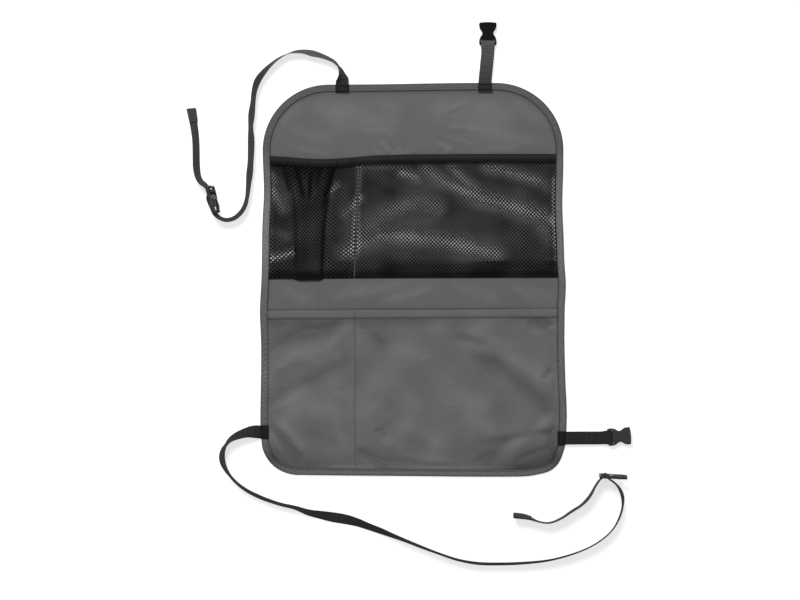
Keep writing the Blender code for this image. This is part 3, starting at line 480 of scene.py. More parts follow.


# long straps: webbing that lies on edge along its route

strapSizes = {
    "width": 0.020, "thickness": 0.0012, "lap": 0.012, "ledge": 0.0025, "layerPitch": 0.0015,
    "sewnRun": 0.0145, "sewnSwell": 0.0006, "ringStep": 0.00042, "corners": 14, "ribPitch": 0.00168,
    "ribDepth": 0.00016, "floorPlay": 0.0002,
}
maleSizes = {
    "length": 0.042, "width": 0.026, "thickness": 0.0044, "bar": 0.003, "slot": 0.0044, "base": 0.0052,
    "play": 0.0007, "bendStart": 0.0012, "bendRun": 0.0022, "bendDrop": 0.0009,
}
# painted light and shade along each long strap: a factor at each distance, in metres, from its sewn end
upperRoute = {
    "start": (-0.1060, None), "buckle": (-193.6, -172.2, -75, 68, 8), "foldedEnd": 0.020,
    "paintedShades": [
        (0, 0.42), (0.03, 0.55), (0.05, 0.9), (0.08, 1.3), (0.11, 1.3), (0.14, 1.0), (0.165, 0.5),
        (0.19, 0.4), (0.215, 0.55), (0.25, 0.68), (0.34, 0.66), (0.39, 0.5), (0.43, 0.52), (0.46, 0.65),
        (0.49, 0.78), (0.55, 0.92), (0.63, 0.98),
    ],
    "main": [
        (0, 5.5, 10, 3.3), (-0.2, 10.3, 40, 1.2), (-0.6, 15.3, 60, 0.2), (-2, 20.7, 70, 0),
        (-5.5, 26.7, 80, 0), (-11.5, 33.4, 76, 0), (-20.5, 38.4, 72, 0), (-33, 43.2, 66, 0),
        (-45.5, 46.5, 60, 0), (-57.5, 48.9, 69, 0), (-69.5, 48.8, 75, 0), (-81.5, 45.9, 86, 0),
        (-93.5, 39.9, 80, 0), (-105.8, 30.6, 74, 0), (-117.8, 18.3, 64, 0), (-126.8, 5.5, 58, 0),
        (-131.6, -9.5, 64, 0), (-133.8, -26.7, 66, 0), (-135.9, -44.7, 59, 0), (-137.1, -64.2, 67, 0),
        (-136.5, -83, 59, 0), (-136.7, -100.2, 60, 0), (-137.4, -116.7, 62, 0), (-138.8, -133.2, 59, 0),
        (-140.7, -152.7, 67, 0), (-142.5, -168.5, 71, 0), (-146.6, -183.5, 69, 0), (-154.1, -194.4, 69, 0),
        (-164.6, -201.6, 70, 0), (-175.3, -203.1, 72, 0), (-184.1, -199.8, 73, 0.4),
        (-190.6, -193.4, 71, 1.8), (-194.4, -185.4, 71, 3.5),
    ],
    "tail": [
        (-205.6, -151.3, 68, 0.7), (-211.6, -146.4, 66, 0.3), (-215.6, -139.2, 64, 0),
        (-218.1, -127.2, 60, 0), (-218.8, -112.2, 60, 0), (-219, -97.2, 60, 0), (-219.6, -82.2, 60, 0),
        (-221.1, -68.7, 58, 0), (-223.1, -56.7, 56, 0), (-225, -46.6, 53, 0), (-226.8, -37.0, 50, 0),
    ],
}
lowerRoute = {
    "start": (None, -0.2283), "buckle": (528.3, -66.4, -3, 84, 0), "foldedEnd": 0.026,
    "paintedShades": [
        (0, 1.0), (0.08, 1.1), (0.13, 1.6), (0.2, 2.1), (0.27, 1.9), (0.32, 1.4), (0.4, 1.4), (0.55, 1.5),
        (0.8, 1.6), (1.03, 1.8),
    ],
    "main": [
        (-5.4, 0.3, 7, 3.5), (-11, 0.3, 20, 2.2), (-17.4, -0.3, 36, 0.9), (-24.9, -2, 47, 0.2),
        (-32.7, -4.7, 54, 0), (-40.2, -8.2, 62, 0), (-46.4, -12.5, 70, 0), (-51.3, -18.5, 76, 0),
        (-55.8, -26.6, 69, 0), (-57.8, -36.7, 62, 0), (-55.9, -47.9, 64, 0), (-51.2, -57.5, 71, 0),
        (-45.8, -65.2, 76, 0), (-35.9, -76.1, 75, 0), (-20.4, -87.7, 73, 0), (-5.2, -95.6, 71, 0),
        (10.3, -101.9, 72, 0), (31, -108.6, 73, 0), (52.3, -113.6, 70, 0), (71.8, -120.5, 60, 0),
        (89.8, -124.1, 50, 0), (107.8, -127.5, 40, 0), (125.8, -130.5, 40, 0), (143.8, -135, 49, 0),
        (161.8, -141.6, 57, 0), (179.8, -148.1, 61, 0), (197.8, -155.2, 68, 0), (215.8, -162.2, 73, 0),
        (238.3, -171.2, 75, 0), (265.8, -181.6, 78, 0), (296.8, -191.8, 77, 0), (323.8, -196.6, 75, 0),
        (359.8, -197.6, 75, 0), (395.8, -196.2, 76, 0), (431.8, -192.2, 79, 0), (467.8, -182.8, 81, 0),
        (494.8, -171.7, 82, 0), (512.8, -160.3, 82, 0), (528.2, -145.3, 82, 0), (537.8, -128, 80, 0),
        (542.5, -110.6, 79, 0), (542.4, -96.7, 74, 0), (538.7, -86.6, 76, 0.4), (532.7, -78.5, 82, 1.6),
        (526.6, -73.2, 84, 2.8),
    ],
    "tail": [
        (506.4, -73.7, 84, 2.6), (501.6, -81, 84, 1.4), (496, -91.7, 81, 0.2), (489.3, -101.1, 80, 0),
        (480.8, -109.4, 82, 0), (466.7, -118.4, 82, 0), (449.8, -129.6, 84, 0), (431.8, -136.1, 86, 0),
        (416.4, -134.1, 85, 0), (404.1, -129.5, 78, 0), (392.1, -126.9, 72, 0), (379.7, -125.6, 71, 0),
    ],
}


def sewnEnd(start, side, lap):
    # where webbing leaves its inner tack and where it leaves the panel; start: x at the head or y at a side
    x, y = start
    if y is None:
        return np.array([x, topY(x, lap)]), np.array([x, topY(x, 0.0)])
    return np.array([sideX(side, y, lap), y]), np.array([sideX(side, y, 0.0), y])


def ladderEdges(sizes):
    # from the male half's middle: the outer bar, a slot, the middle bar, a slot and the base
    steps = [sizes["bar"], sizes["slot"], sizes["bar"], sizes["slot"], sizes["base"]]
    return -sizes["length"] / 2 + np.cumsum([0] + steps)


def maleFrame(exitPoint, place, sizes):
    # columns: along its prongs, across it, out of its face; and its middle. It lies on one edge.
    heading, roll, pitch = np.radians(place[2:])
    flat = np.array([math.cos(heading), math.sin(heading), 0])
    along = flat * math.cos(pitch) + np.array([0, 0, math.sin(pitch)])
    width = np.array([flat[1], -flat[0], 0]) * math.cos(roll) + np.array([0, 0, math.sin(roll)])
    across = -unit(width - along * width.dot(along))
    turned = np.stack([along, across, np.cross(along, across)], 1)
    reach = np.abs(turned[2]) @ np.array([sizes["length"], sizes["width"], sizes["thickness"]]) / 2
    return turned, np.array([*(exitPoint + np.array(place[:2]) * mm), reach])


def threadingPoints(sizes, thickness):
    # the webbing's way under the base, over the middle bar and under the outer bar
    edges = ladderEdges(sizes)
    clear = thickness / 2 + sizes["play"]
    reachX, reachZ = sizes["bar"] / 2 + clear, sizes["thickness"] / 2 + clear
    under = np.array([
        [reachX + sizes["bendStart"] + sizes["bendRun"], -reachZ - sizes["bendDrop"]],
        [reachX + sizes["bendStart"], -reachZ + sizes["bendDrop"]],
    ])
    turn = np.radians(np.arange(0, 181, 30))
    over = np.stack([reachX * np.cos(turn), reachZ * np.sin(turn)], 1)
    points = np.vstack([under, over, under[::-1] * [-1, 1]])
    return np.stack([points[:, 0] + (edges[2] + edges[3]) / 2, 0 * points[:, 0], points[:, 1]], 1)


def lying(points, exitPoint, sizes):
    # centres and width directions of webbing on the floor: its plan, its own tilt and its lift
    keys = np.array(points, dtype=float)
    plan = np.stack([exitPoint[0] + keys[:, 0] * mm, exitPoint[1] + keys[:, 1] * mm, 0 * keys[:, 0]], 1)
    along = unit(np.gradient(plan, axis=0))
    left = np.stack([-along[:, 1], along[:, 0], 0 * along[:, 0]], 1)
    tilt = np.radians(keys[:, 2:3])
    sides = np.cos(tilt) * left + np.sin(tilt) * np.array([0.0, 0.0, 1.0])
    halfRise = np.sin(tilt) * sizes["width"] / 2 + np.abs(np.cos(tilt)) * sizes["thickness"] / 2
    plan[:, 2] = keys[:, 3] * mm + sizes["floorPlay"] + halfRise[:, 0]
    return plan, sides


def smoothThrough(keys, step):
    # cubic curve through rows of numbers, their first three a place, sampled about every step
    lengths = np.linalg.norm(np.diff(keys[:, :3], axis=0), axis=1)
    speeds = np.diff(keys, axis=0) / lengths[:, None]
    before, after = lengths[:-1, None], lengths[1:, None]
    inner = (speeds[:-1] * after + speeds[1:] * before) / (before + after)
    slopes = np.vstack([speeds[:1], inner, speeds[-1:]])
    counts = np.maximum(1, np.ceil(lengths / step).astype(int))
    span = np.repeat(np.arange(len(counts)), counts)
    starts = np.concatenate([[0], np.cumsum(counts)[:-1]])
    t = ((np.arange(counts.sum()) - starts[span]) / counts[span])[:, None]
    length = lengths[span][:, None]
    curve = (
        (2 * t**3 - 3 * t**2 + 1) * keys[span] + (t**3 - 2 * t**2 + t) * length * slopes[span]
        + (3 * t**2 - 2 * t**3) * keys[span + 1] + (t**3 - t**2) * length * slopes[span + 1]
    )
    return np.vstack([curve, keys[-1:]])


def ribbonFrames(centres, sides, step):
    # middle line, width direction and face normal of webbing through its key points
    curve = smoothThrough(np.hstack([centres, unit(sides) * 0.01]), step)
    middle, side = curve[:, :3], curve[:, 3:]
    along = unit(np.gradient(middle, axis=0))
    side = unit(side - np.sum(side * along, axis=1, keepdims=True) * along)
    return middle, side, np.cross(along, side)


def turnedBack(middle, side, face, foldedEnd, sizes):
    # the tail's end turned back on itself in a round fold and laid one layer pitch above
    fromEnd = lengthsAlong(middle[::-1])
    count = int(np.searchsorted(fromEnd, foldedEnd))
    back = middle[::-1][1:count] + face[::-1][1:count] * sizes["layerPitch"]
    along = unit(middle[-1] - middle[-2])
    half = sizes["layerPitch"] / 2
    turn = np.radians(np.arange(20, 161, 20))[:, None]
    loop = middle[-1] + face[-1] * half * (1 - np.cos(turn)) + along * half * np.sin(turn)
    loopFace = face[-1] * np.cos(turn) + along * np.sin(turn)
    middle = np.vstack([middle, loop, back])
    side = np.vstack([side, np.repeat(side[-1:], len(loop), 0), side[::-1][1:count]])
    return middle, side, np.vstack([face, loopFace, -face[::-1][1:count]])


def webbingPiece(name, middle, side, face, sizes, finish, paintedShades, sewnBoth=False, spread=0.0):
    # a flat oval section carried along the middle line; its thickness and its edges swell at each rib.
    # It is darker where it is sewn. Its painted light and shade along its length are given at distances
    # from its sewn end.
    # spread: extra half width at each ring.
    along = lengthsAlong(middle)
    rib = np.cos(along * 2 * math.pi / sizes["ribPitch"])[:, None]
    turn = (np.arange(sizes["corners"]) + 0.5) * 2 * math.pi / sizes["corners"]
    across = np.sign(np.cos(turn)) * np.abs(np.cos(turn)) ** 0.45
    out = np.sign(np.sin(turn)) * np.abs(np.sin(turn)) ** 0.55
    edge = np.abs(across) ** 6
    halfWidth = sizes["width"] / 2 + rib * edge * sizes["ribDepth"] - sizes["ribDepth"]
    fromEnds = np.minimum(along, along[-1] - along) if sewnBoth else along
    atSeam = sizes["sewnSwell"] * ramp(0.0135, fromEnds, 0.002)
    halfWidth = halfWidth + np.reshape(spread + atSeam, (-1, 1))
    halfDepth = sizes["ribDepth"] / 2
    halfThickness = sizes["thickness"] / 2 - halfDepth + rib * halfDepth * (1 - edge)
    points = (
        middle[:, None] + side[:, None] * (across * halfWidth)[..., None]
        + face[:, None] * (out * halfThickness)[..., None]
    )
    uv = lengthMap(along, np.append(across, across[0]) * sizes["width"] / 2)
    light = 1 - 0.4 * ramp(sizes["sewnRun"], fromEnds, 0.003)
    # painted light and shade along the strap
    light = np.repeat(light * np.interp(fromEnds, *zip(*paintedShades)), len(turn))
    return gridPiece(name, points, finish, light, uv, roundColumns=True, capped=True)


def longStrap(name, node, route, sizes, finish):
    # a smooth line from the tack over the binding, along the floor, through the male half's slots and
    # along the floor again, then turned back; gives also the unfolded line, the exit and the length
    inner, exitPoint = sewnEnd(route["start"], -1, sizes["lap"])
    travel = unit(exitPoint - inner)
    turned, middle = maleFrame(exitPoint, route["buckle"], maleSizes)
    before, beforeSides = lying(route["main"], exitPoint, sizes)
    after, afterSides = lying(route["tail"], exitPoint, sizes)
    threaded = threadingPoints(maleSizes, sizes["thickness"]) @ turned.T + middle
    sewn = np.array([[*point, seamTop + sizes["thickness"] / 2]
                     for point in (inner, exitPoint, exitPoint + travel * sizes["ledge"])])
    sewnSides = np.tile([-travel[1], travel[0], 0.0], (3, 1))
    centres = np.vstack([sewn, before, threaded, after])
    sides = np.vstack([sewnSides, beforeSides, np.tile(-turned[:, 1], (len(threaded), 1)), afterSides])
    frames = ribbonFrames(centres, sides, sizes["ringStep"])
    line, side, face = turnedBack(*frames, route["foldedEnd"], sizes)
    strap = webbingPiece(name, line, side, face, sizes, finish, route["paintedShades"])
    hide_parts(node)
    return strap, frames[0], sewn[1], lengthsAlong(line)[-1]


longSewn = []
for name, node, route, finish, buckle in (
    ("upperLongStrap", "upper_long_strap", upperRoute, paleWebbing, "upper_male_buckle"),
    ("lowerLongStrap", "lower_long_strap", lowerRoute, webbing, "lower_male_buckle"),
):
    strap, line, exitPoint, length = longStrap(name, node, route, strapSizes, finish)
    longSewn.append((line[0, :2], exitPoint[:2]))
    print(name, "made:", round(length, 4))


# back panel: cloth on a grid between the two sides, puckered round its seams

panelLook = {
    "columns": 230, "rows": 290, "swell": 0.0006, "swellLength": 0.085, "flatRim": 0.0165,
    # painted shade of the cloth behind the net, and painted light where the net rests on it
    "rimRun": 0.022, "shadeBehindNet": (0.04, 0.08), "lightUnderRest": 5.4,
    "folds": [
        (-66, 238, -30, 212, 4.5, 1.2), (-50, 208, -26, 182, 3.5, 1.3), (-60, 196, -36, 178, 3.5, 1.1),
        (-24, 186, 6, 194, 3.5, 1.0), (34, 206, 62, 190, 3.5, 1.3), (50, 214, 92, 200, 4, 1.0),
        (56, 228, 104, 222, 3.5, 1.2), (40, 246, 86, 268, 5, 1.1), (-52, 264, -14, 250, 5, 0.9),
        (-74, 224, -40, 218, 4, 0.9), (-30, 176, -18, 200, 3.5, 0.9), (44, 182, 60, 202, 3.5, 1.0),
        (96, 262, 156, 236, 14, 1.3), (-150, 264, -92, 230, 15, 1.2), (-186, 226, -120, 204, 10, 1.1),
        (110, 216, 196, 204, 9, 1.1), (-176, 196, -120, 184, 6, 0.8), (90, 190, 160, 196, 6, 0.8),
        (-42, -34, 34, -12, 7, 1.3), (-120, -30, -66, -12, 8, 1.0), (66, -10, 128, -36, 9, 1.2),
        (150, -10, 184, -34, 6, 1.5), (172, -12, 206, -30, 6, 1.1), (-200, -14, -150, -34, 8, 1.0),
        (90, -16, 110, -34, 5, -0.8), (-120, 250, -20, 226, 20, 1.6), (20, 262, 150, 214, 22, 1.6),
        (-90, -26, -10, -6, 9, 1.4), (150, 268, 196, 232, 12, 1.2), (-208, 232, -166, 268, 10, 1.2),
    ],
}


def panelRelief(x, y):
    # folds and slow swells, never below the flat cloth and fading out towards the rim
    look = panelLook
    height = foldsAt(x, y, look["folds"]) + swell(x, y, 3, look["swellLength"], look["swell"])
    return np.maximum(height + look["swell"], 0) * ramp(insetOf(x, y), look["flatRim"], look["rimRun"])


def panelSurface(x, y):
    # the panel's front, on which the pockets are sewn
    return panelTop(x, y) + panelRelief(x, y)


def footShare(y):
    # 1 along the panel's foot
    return ramp(-0.255, y, 0.02)


def footEnds(inset):
    # y of the foot's straight side at its left and right end
    return arcEnd(2, arcLast[2], inset)[1], arcEnd(3, arcFirst[3], inset)[1]


def clothGrid(low, high, share, inset, columns):
    # rows of points from side to side; low, high: y of the first and last row, each left and right
    yLeft, yRight = between(low[0], high[0], share), between(low[1], high[1], share)
    xLeft, xRight = sideX(-1, yLeft, inset), sideX(1, yRight, inset)
    u = np.linspace(0, 1, columns)[None, :]
    return between(xLeft[:, None], xRight[:, None], u), between(yLeft[:, None], yRight[:, None], u)


def clothPanel(look):
    # rows lie closer at the head and the foot
    v = np.linspace(0, 1, look["rows"])
    share = 0.55 * v + 0.45 * (0.5 - 0.5 * np.cos(math.pi * v))
    head = arcEnd(1, arcFirst[1], rimLift)[1], arcEnd(0, arcLast[0], rimLift)[1]
    x, y = clothGrid(footEnds(rimLift), head, share, rimLift, look["columns"])
    z = panelSurface(x, y) - panelSizes["cloth"] / 2
    # light: painted shade behind the net, more behind its hem and under its pleat, and painted light
    # where the net lies on it; painted highlights on ridges and shade in valleys; painted shadow along
    # the binding and along the lower pocket's mouth
    lowest = between(*look["shadeBehindNet"], ramp(y, 0.02, 0.04))
    behind = between(lowest, look["lightUnderRest"], netRestAt(x, y)) * (1 - 0.8 * netHemShare(x, y))
    light = between(1.0, behind * (1 - 0.9 * pleatShare(x, y)), underNet(x, y))
    light *= foldLight(foldsAt(x, y, look["folds"]), 0.0015)
    # painted shadow along the binding and along the lower pocket's mouth
    light *= 1 - 0.65 * bell(np.maximum(insetOf(x, y) - pocketInset, 0), 0.0014)
    light *= 1 - 0.55 * bell(y - lowerTopY(x) - 0.0006, 0.0013)
    piece = gridPiece("panelCloth", settled(np.stack([x, y, z], 2)), panelCloth, light)
    thicken(piece, panelSizes["cloth"])
    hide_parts("back_panel")


# edge binding: the section of a folded tape carried round the outline

bindingLook = {
    "step": 0.0012, "wave": 0.00022, "waves": ((53, 0.4), (97, 2.0), (151, 4.1), (29, 1.1)),
    "puckerPitch": 0.0066, "puckerHeight": 0.00025, "stitchAt": 0.0081, "stitchPitch": 0.0031,
    "stitchHeight": 0.00292, "opened": 0.0204,
    "section": [
        (0.0, 1.6), (0.12, 2.35), (0.5, 2.9), (1.3, 3.2), (3.4, 3.32), (6.0, 3.26), (7.3, 3.1),
        (7.8, 2.92), (8.1, 2.86), (8.4, 2.92), (8.9, 3.12), (9.7, 3.16), (10.15, 3.0), (10.2, 2.6),
        (10.0, 2.42), (2.2, 2.4), (1.0, 1.9), (0.95, 1.3), (2.2, 0.82), (10.0, 0.8), (10.2, 0.5),
        (9.9, 0.05), (1.4, 0.0), (0.5, 0.25), (0.12, 0.8),
    ],
}


def edgeBinding(look):
    # the upper leaf waves a little and is puckered aslant by its stitches, most at the left side and
    # the lower corners; light: painted shade at the turn of the edge, in the puckers and at the inner
    # edge, or along the stitches at the foot, and painted light and shade round the outline: darker
    # round the head, lighter down the sides and most on the left, darker at the lower corners
    points, inward, at, total = outlineAt(look["step"])
    section = np.array(look["section"]) * mm
    waves = [np.sin(2 * math.pi * cycles * at / total + phase) for cycles, phase in look["waves"]]
    wave = look["wave"] * np.stack(waves).sum(0)[:, None]
    depth, height = section[:, 0][None, :], section[:, 1][None, :]
    x, y = points[:, :1], points[:, 1:]
    puckered = 0.25 + 0.75 * ramp(-0.2, x, 0.01) * np.exp(-(((y + 0.13) / 0.085) ** 4))
    atFoot = footShare(y)
    atCorner = bell(np.abs(x) - 0.205, 0.028) * bell(y + 0.285, 0.03)
    puckered = np.maximum(puckered, 0.9 * atCorner)
    slanted = 2 * math.pi * (at[:, None] + 0.5 * depth) / look["puckerPitch"]
    pucker = np.sin(slanted + 2.5 * np.sin(at * 61)[:, None]) * puckered
    innerEdge = ramp(depth, 0.004, 0.006)
    topLeaf = ramp(height, 0.0024, 0.0006)
    lifted = (np.abs(wave) + look["puckerHeight"] * np.abs(pucker)) * topLeaf * (0.3 + 0.7 * innerEdge)
    height = height + lifted
    ring = points[:, None, :] + inward[:, None, :] * depth[..., None]
    surface = np.concatenate([ring, height[..., None]], 2)
    uv = lengthMap(np.append(at, total), np.append(section[:, 0], section[0, 0]))
    # painted shade along the inner edge, and along the stitches at the foot
    innerEdgeShade = 0.35 * (1 - atFoot) * ramp(depth, 0.0096, 0.0006)
    stitchShade = 0.5 * atFoot * bell(depth - look["stitchAt"], 0.0008)
    light = 1 - 0.6 * ramp(0.0018, depth, 0.0016) - innerEdgeShade - stitchShade
    light = light * (1 - 0.5 * np.clip(pucker - 0.2, 0, 1) * topLeaf)
    sides = ramp(np.abs(x), 0.195, 0.02) * ramp(0.2, y, 0.03)
    # painted light and shade round the outline
    outlineLight = between(between(0.8, 1.06, atFoot), 1.03, sides)
    outlineLight *= 1 + between(0.2, 0.48, x < 0) * sides * np.exp(-(((y - 0.072) / 0.06) ** 4))
    outlineLight *= 1 + 0.25 * sides * (x < 0) * bell(y + 0.147, 0.025)
    outlineLight *= 1 - 0.45 * bell(np.abs(x) - 0.214, 0.018) * bell(y + 0.268, 0.016)
    piece = gridPiece("edgeBinding", settled(surface), bindingTape, light * outlineLight, uv,
                      roundRows=True, roundColumns=True)
    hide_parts("edge_binding")
    stitchLine = points + inward * look["stitchAt"]
    return np.column_stack([stitchLine, np.full(len(points), look["stitchHeight"])])


# stitches: short arched threads, each one end sunk in the cloth

def stitches(name, lines, radius, pitch, thread, share=0.78):
    # along each line: arches from below the surface up and back, round in section
    turn = np.linspace(0, 1, 6)
    runs = []
    for line in lines:
        line = settled(line)
        reach = lengthsAlong(line)
        count = max(1, int(round(reach[-1] / pitch)))
        at = (np.arange(count)[:, None] + 0.5 - share / 2 + share * turn[None, :]) * reach[-1] / count
        runs.append(np.stack([np.interp(at, reach, line[:, axis]) for axis in range(3)], 2))
    middle = np.concatenate(runs)
    along = unit(middle[:, -1:] - middle[:, :1])
    side = unit(np.cross(along, np.array([0.0, 0.0, 1.0])))
    out = np.cross(side, along)
    arch = np.sin(math.pi * turn) ** 0.6
    middle = middle + out * ((arch * 1.5 - 1.1) * radius)[None, :, None]
    angle = np.arange(6) * math.pi / 3
    thin = (0.7 + 0.3 * arch)[None, :, None, None] * radius
    ring = middle[:, :, None] + thin * (
        side[:, :, None] * np.cos(angle)[None, None, :, None]
        + out[:, :, None] * np.sin(angle)[None, None, :, None]
    )
    rows, columns = len(turn), len(angle)
    j, i = gridCells(rows, columns, roundColumns=True)
    one = (j % rows) * columns + i % columns
    caps = np.array([np.arange(columns)[::-1], np.arange(columns) + (rows - 1) * columns])
    first = (np.arange(len(middle)) * rows * columns)[:, None, None]
    faces = (one[None] + first).reshape(-1, 4)
    ends = (caps[None] + first).reshape(-1, columns)
    return addPiece(name, ring.reshape(-1, 3), [faces[:, ::-1], ends[:, ::-1]], thread)


# pockets: lines that both share

netSizes = {
    "bottomLeft": 0.0010, "bottomRight": 0.0036, "mouthLeft": 0.1866, "mouthRight": 0.1886,
    "sag": 0.0062, "sagX": -0.135, "sagWidth": 0.062, "dividerTop": -0.081, "dividerBottom": -0.088,
    "bandHeight": 0.012, "rise": 0.0062, "clear": 0.0006, "seam": 0.0025, "thread": 0.0005,
    "mouthGap": 0.0012, "hem": 0.024,
    "cell": 0.0055, "holeStraight": 0.00166, "holeSlant": 0.00146, "crown": 0.00022,
    "pleatBottom": (-0.1562, 0.0197, 0.012, 0.0013), "pleatTop": (-0.1538, 0.0385, 0.006, 0.0013),
}


def acrossShare(x):
    # 0 at the panel's left side, 1 at its right
    return (x + panelSizes["topWidth"] / 2) / panelSizes["topWidth"]


def mouthY(x):
    # a straight line from side to side that sags in a bell at the pleat
    sag = netSizes["sag"] * bell(x - netSizes["sagX"], netSizes["sagWidth"])
    return between(netSizes["mouthLeft"], netSizes["mouthRight"], acrossShare(x)) - sag


def netBottomY(x):
    # a straight line from side to side that drops evenly under the pleat
    middle, half = netSizes["pleatBottom"][:2]
    drop = 0.0024 * np.exp(-(((x - middle) / half) ** 12))
    return between(netSizes["bottomLeft"], netSizes["bottomRight"], acrossShare(x)) - drop


def netLevel(v):
    # y at a share of the net's height, and the share at a y, both along its right side
    return between(netSizes["bottomRight"], netSizes["mouthRight"], v)


def netShare(y):
    return (y - netSizes["bottomRight"]) / (netSizes["mouthRight"] - netSizes["bottomRight"])


def netDividerX(y):
    # a straight slanting seam
    return between(netSizes["dividerBottom"], netSizes["dividerTop"], netShare(y))


def pleatAt(share):
    # middle, half width, depth of the hidden layers and pitch of the layers: it spreads near the mouth
    ends = zip(netSizes["pleatBottom"], netSizes["pleatTop"])
    return [between(low, high, share**2.5) for low, high in ends]


def offSeam(distance, width=0.016):
    # share of the full stand-off at this distance from a seam
    return ramp(distance, netSizes["seam"], width)


def distanceTo(x, y, line):
    # least distance in millimetres to a broken line: x and y of each of its points in turn
    nearest = np.full(np.shape(x), 1e3)
    ends = np.reshape(line, (-1, 2))
    for (x0, y0), (x1, y1) in zip(ends, ends[1:]):
        dx, dy = x1 - x0, y1 - y0
        share = np.clip(((x / mm - x0) * dx + (y / mm - y0) * dy) / (dx * dx + dy * dy), 0, 1)
        nearest = np.minimum(nearest, np.hypot(x / mm - x0 - share * dx, y / mm - y0 - share * dy))
    return nearest


def nearLines(x, y, lines):
    # each broken line's strength on it, falling off on both sides; the strongest counts
    share = np.zeros(np.shape(x))
    for width, strength, *line in lines:
        share = np.maximum(share, strength * bell(distanceTo(x, y, line), width))
    return share


# where the net lies on the panel: half width, strength and a broken line of each, in millimetres
netRests = [
    (9, 0.85, 18, 165, 46, 146, 81, 131, 118, 120), (13, 0.88, 100, 124, 156, 109, 190, 97, 216, 86),
    (7, 0.7, 57, 169, 76, 150, 100, 134), (8, 0.85, 111, 168, 134, 164, 160, 157, 188, 149),
    (8, 0.4, 190, 148, 213, 134), (8, 0.9, -16, 161, 6, 154), (4, 0.4, -82, 170, -16, 168),
    (14, 0.68, -46, 97, -13, 112, 14, 116, 34, 110), (15, 0.55, -82, 60, -72, 78, -52, 92),
    (15, 0.85, -52, 66, -9, 65, 28, 61, 66, 54, 104, 45, 124, 39),
    (12, 0.75, -103, 42, -77, 54, -46, 66), (11, 0.5, -88, 94, -92, 66, -95, 41),
    (4, 0.25, -80, 165, -83, 125), (6, 0.75, -80, 123, -103, 98), (6, 0.6, -212, 157, -207, 146),
    (7, 0.75, -211, 134, -203, 121, -195, 106), (6, 1.0, -214, 31, -181, 42),
    (4.5, 0.85, -131, 127, -115, 142), (12, 0.5, 194, 78, 214, 56), (8, 0.3, 206, 22, 214, 30),
    (14, 0.3, -60, 72, 20, 88), (16, 0.1, 40, 82, 120, 92), (6, 0.25, -208, 72, -190, 66),
    (4, 0.5, 211, 150, 212, 60),
]
# folds of the free net: those over the pleat fan down from the band
netFolds = [
    (-120, 172, -135, 104, 5, -1.8), (-123, 130, -131, 86, 6, 1.8), (-100, 146, -110, 101, 5, 1.4),
    (-141, 153, -152, 113, 4, 1.8), (-154, 156, -157, 122, 2.5, -1.8), (-163, 153, -160, 122, 3, 1.4),
    (-177, 172, -165, 122, 3.5, -1.9), (-185, 160, -173, 106, 4, 1.7), (-194, 168, -186, 130, 3, -1.8),
    (-197, 153, -190, 115, 4, 1.2), (-137, 178, -146, 130, 3, -1.4), (-150, 112, -153, 20, 5, 1.0),
    (-168, 110, -170, 20, 4, 0.8), (36, 130, 200, 76, 10, 1.6), (40, 158, 190, 122, 7, 1.3),
    (-30, 140, 60, 142, 12, 1.4), (-60, 132, -20, 150, 8, 1.2), (-50, 84, 50, 92, 10, 1.3),
    (-60, 38, 110, 24, 8, 1.4), (60, 74, 170, 60, 12, 1.3), (-210, 84, -186, 60, 7, 1.4),
    (-206, 54, -186, 54, 6, 1.0), (-132, 74, -104, 70, 9, 1.6), (-128, 60, -112, 34, 8, 1.2),
]
# painted shade along the net's creases, where its layers meet, listed in the same way
netCreases = [
    (3.4, 0.8, -119, 176, -127, 131, -134, 84, -137, -1),
    (3.0, 0.5, -189, 176, -181, 131, -177, 84, -176, -1), (5.0, 0.6, -120, 172, -134, 110),
    (2.2, 0.7, -154, 158, -157, 122), (3.2, 0.6, -177, 172, -165, 124), (3.2, 0.6, -194, 170, -187, 134),
    (2.4, 0.5, -137, 178, -145, 140), (4.0, 0.6, -205, 172, -190, 166), (9.0, 0.75, -214, 4, 216, 7),
    (9.0, 0.5, -40, 17, 60, 20, 216, 22), (9.0, 0.35, -70, 150, -30, 128), (10.0, 0.4, 180, 20, 216, 8),
]


def netRestAt(x, y):
    # 1 where the net lies on the cloth, 0 where it stands off it
    return nearLines(x, y, netRests)


def pleatShare(x, y):
    # 1 over the pleat, which is wider towards the mouth
    middle, half = pleatAt(np.clip(netShare(y), 0, 1))[:2]
    return ramp(half + 0.001, np.abs(x - middle), 0.003)


def netHemShare(x, y):
    # 1 where the turned-up hem lies behind the net
    return ramp(netBottomY(x) + 0.027, y, 0.003)


def netLight(x, y):
    # how light the net's thread is: darker where it rests on the cloth; painted shade in its creases,
    # over the pleat, under the band and in the gathered top of the narrow cell; a painted sheen on the
    # ridges of its folds; and a slow random tone
    sheen = 1 + 0.45 * np.clip(foldsAt(x, y, netFolds) / 0.0018, -1, 1)
    bandShadow = 1 - 0.7 * ramp(y - mouthY(x) + netSizes["bandHeight"], -0.005, 0.004)
    gatherShade = ramp(y - mouthY(x), -0.05, 0.035) * ramp(-0.085, x, 0.02)
    light = (1.2 - 1.1 * netRestAt(x, y)) * (1 - nearLines(x, y, netCreases))
    light = light * (1 - 0.35 * pleatShare(x, y)) * sheen * bandShadow * (1 - 0.45 * gatherShade)
    return light * (1 + 0.25 * swell(x, y, 21, 0.06, 1.0))


def underNet(x, y):
    # 1 between the net's lower edge and its mouth
    return ramp(y - netBottomY(x), -0.0005, 0.001) * ramp(mouthY(x), y, 0.006)


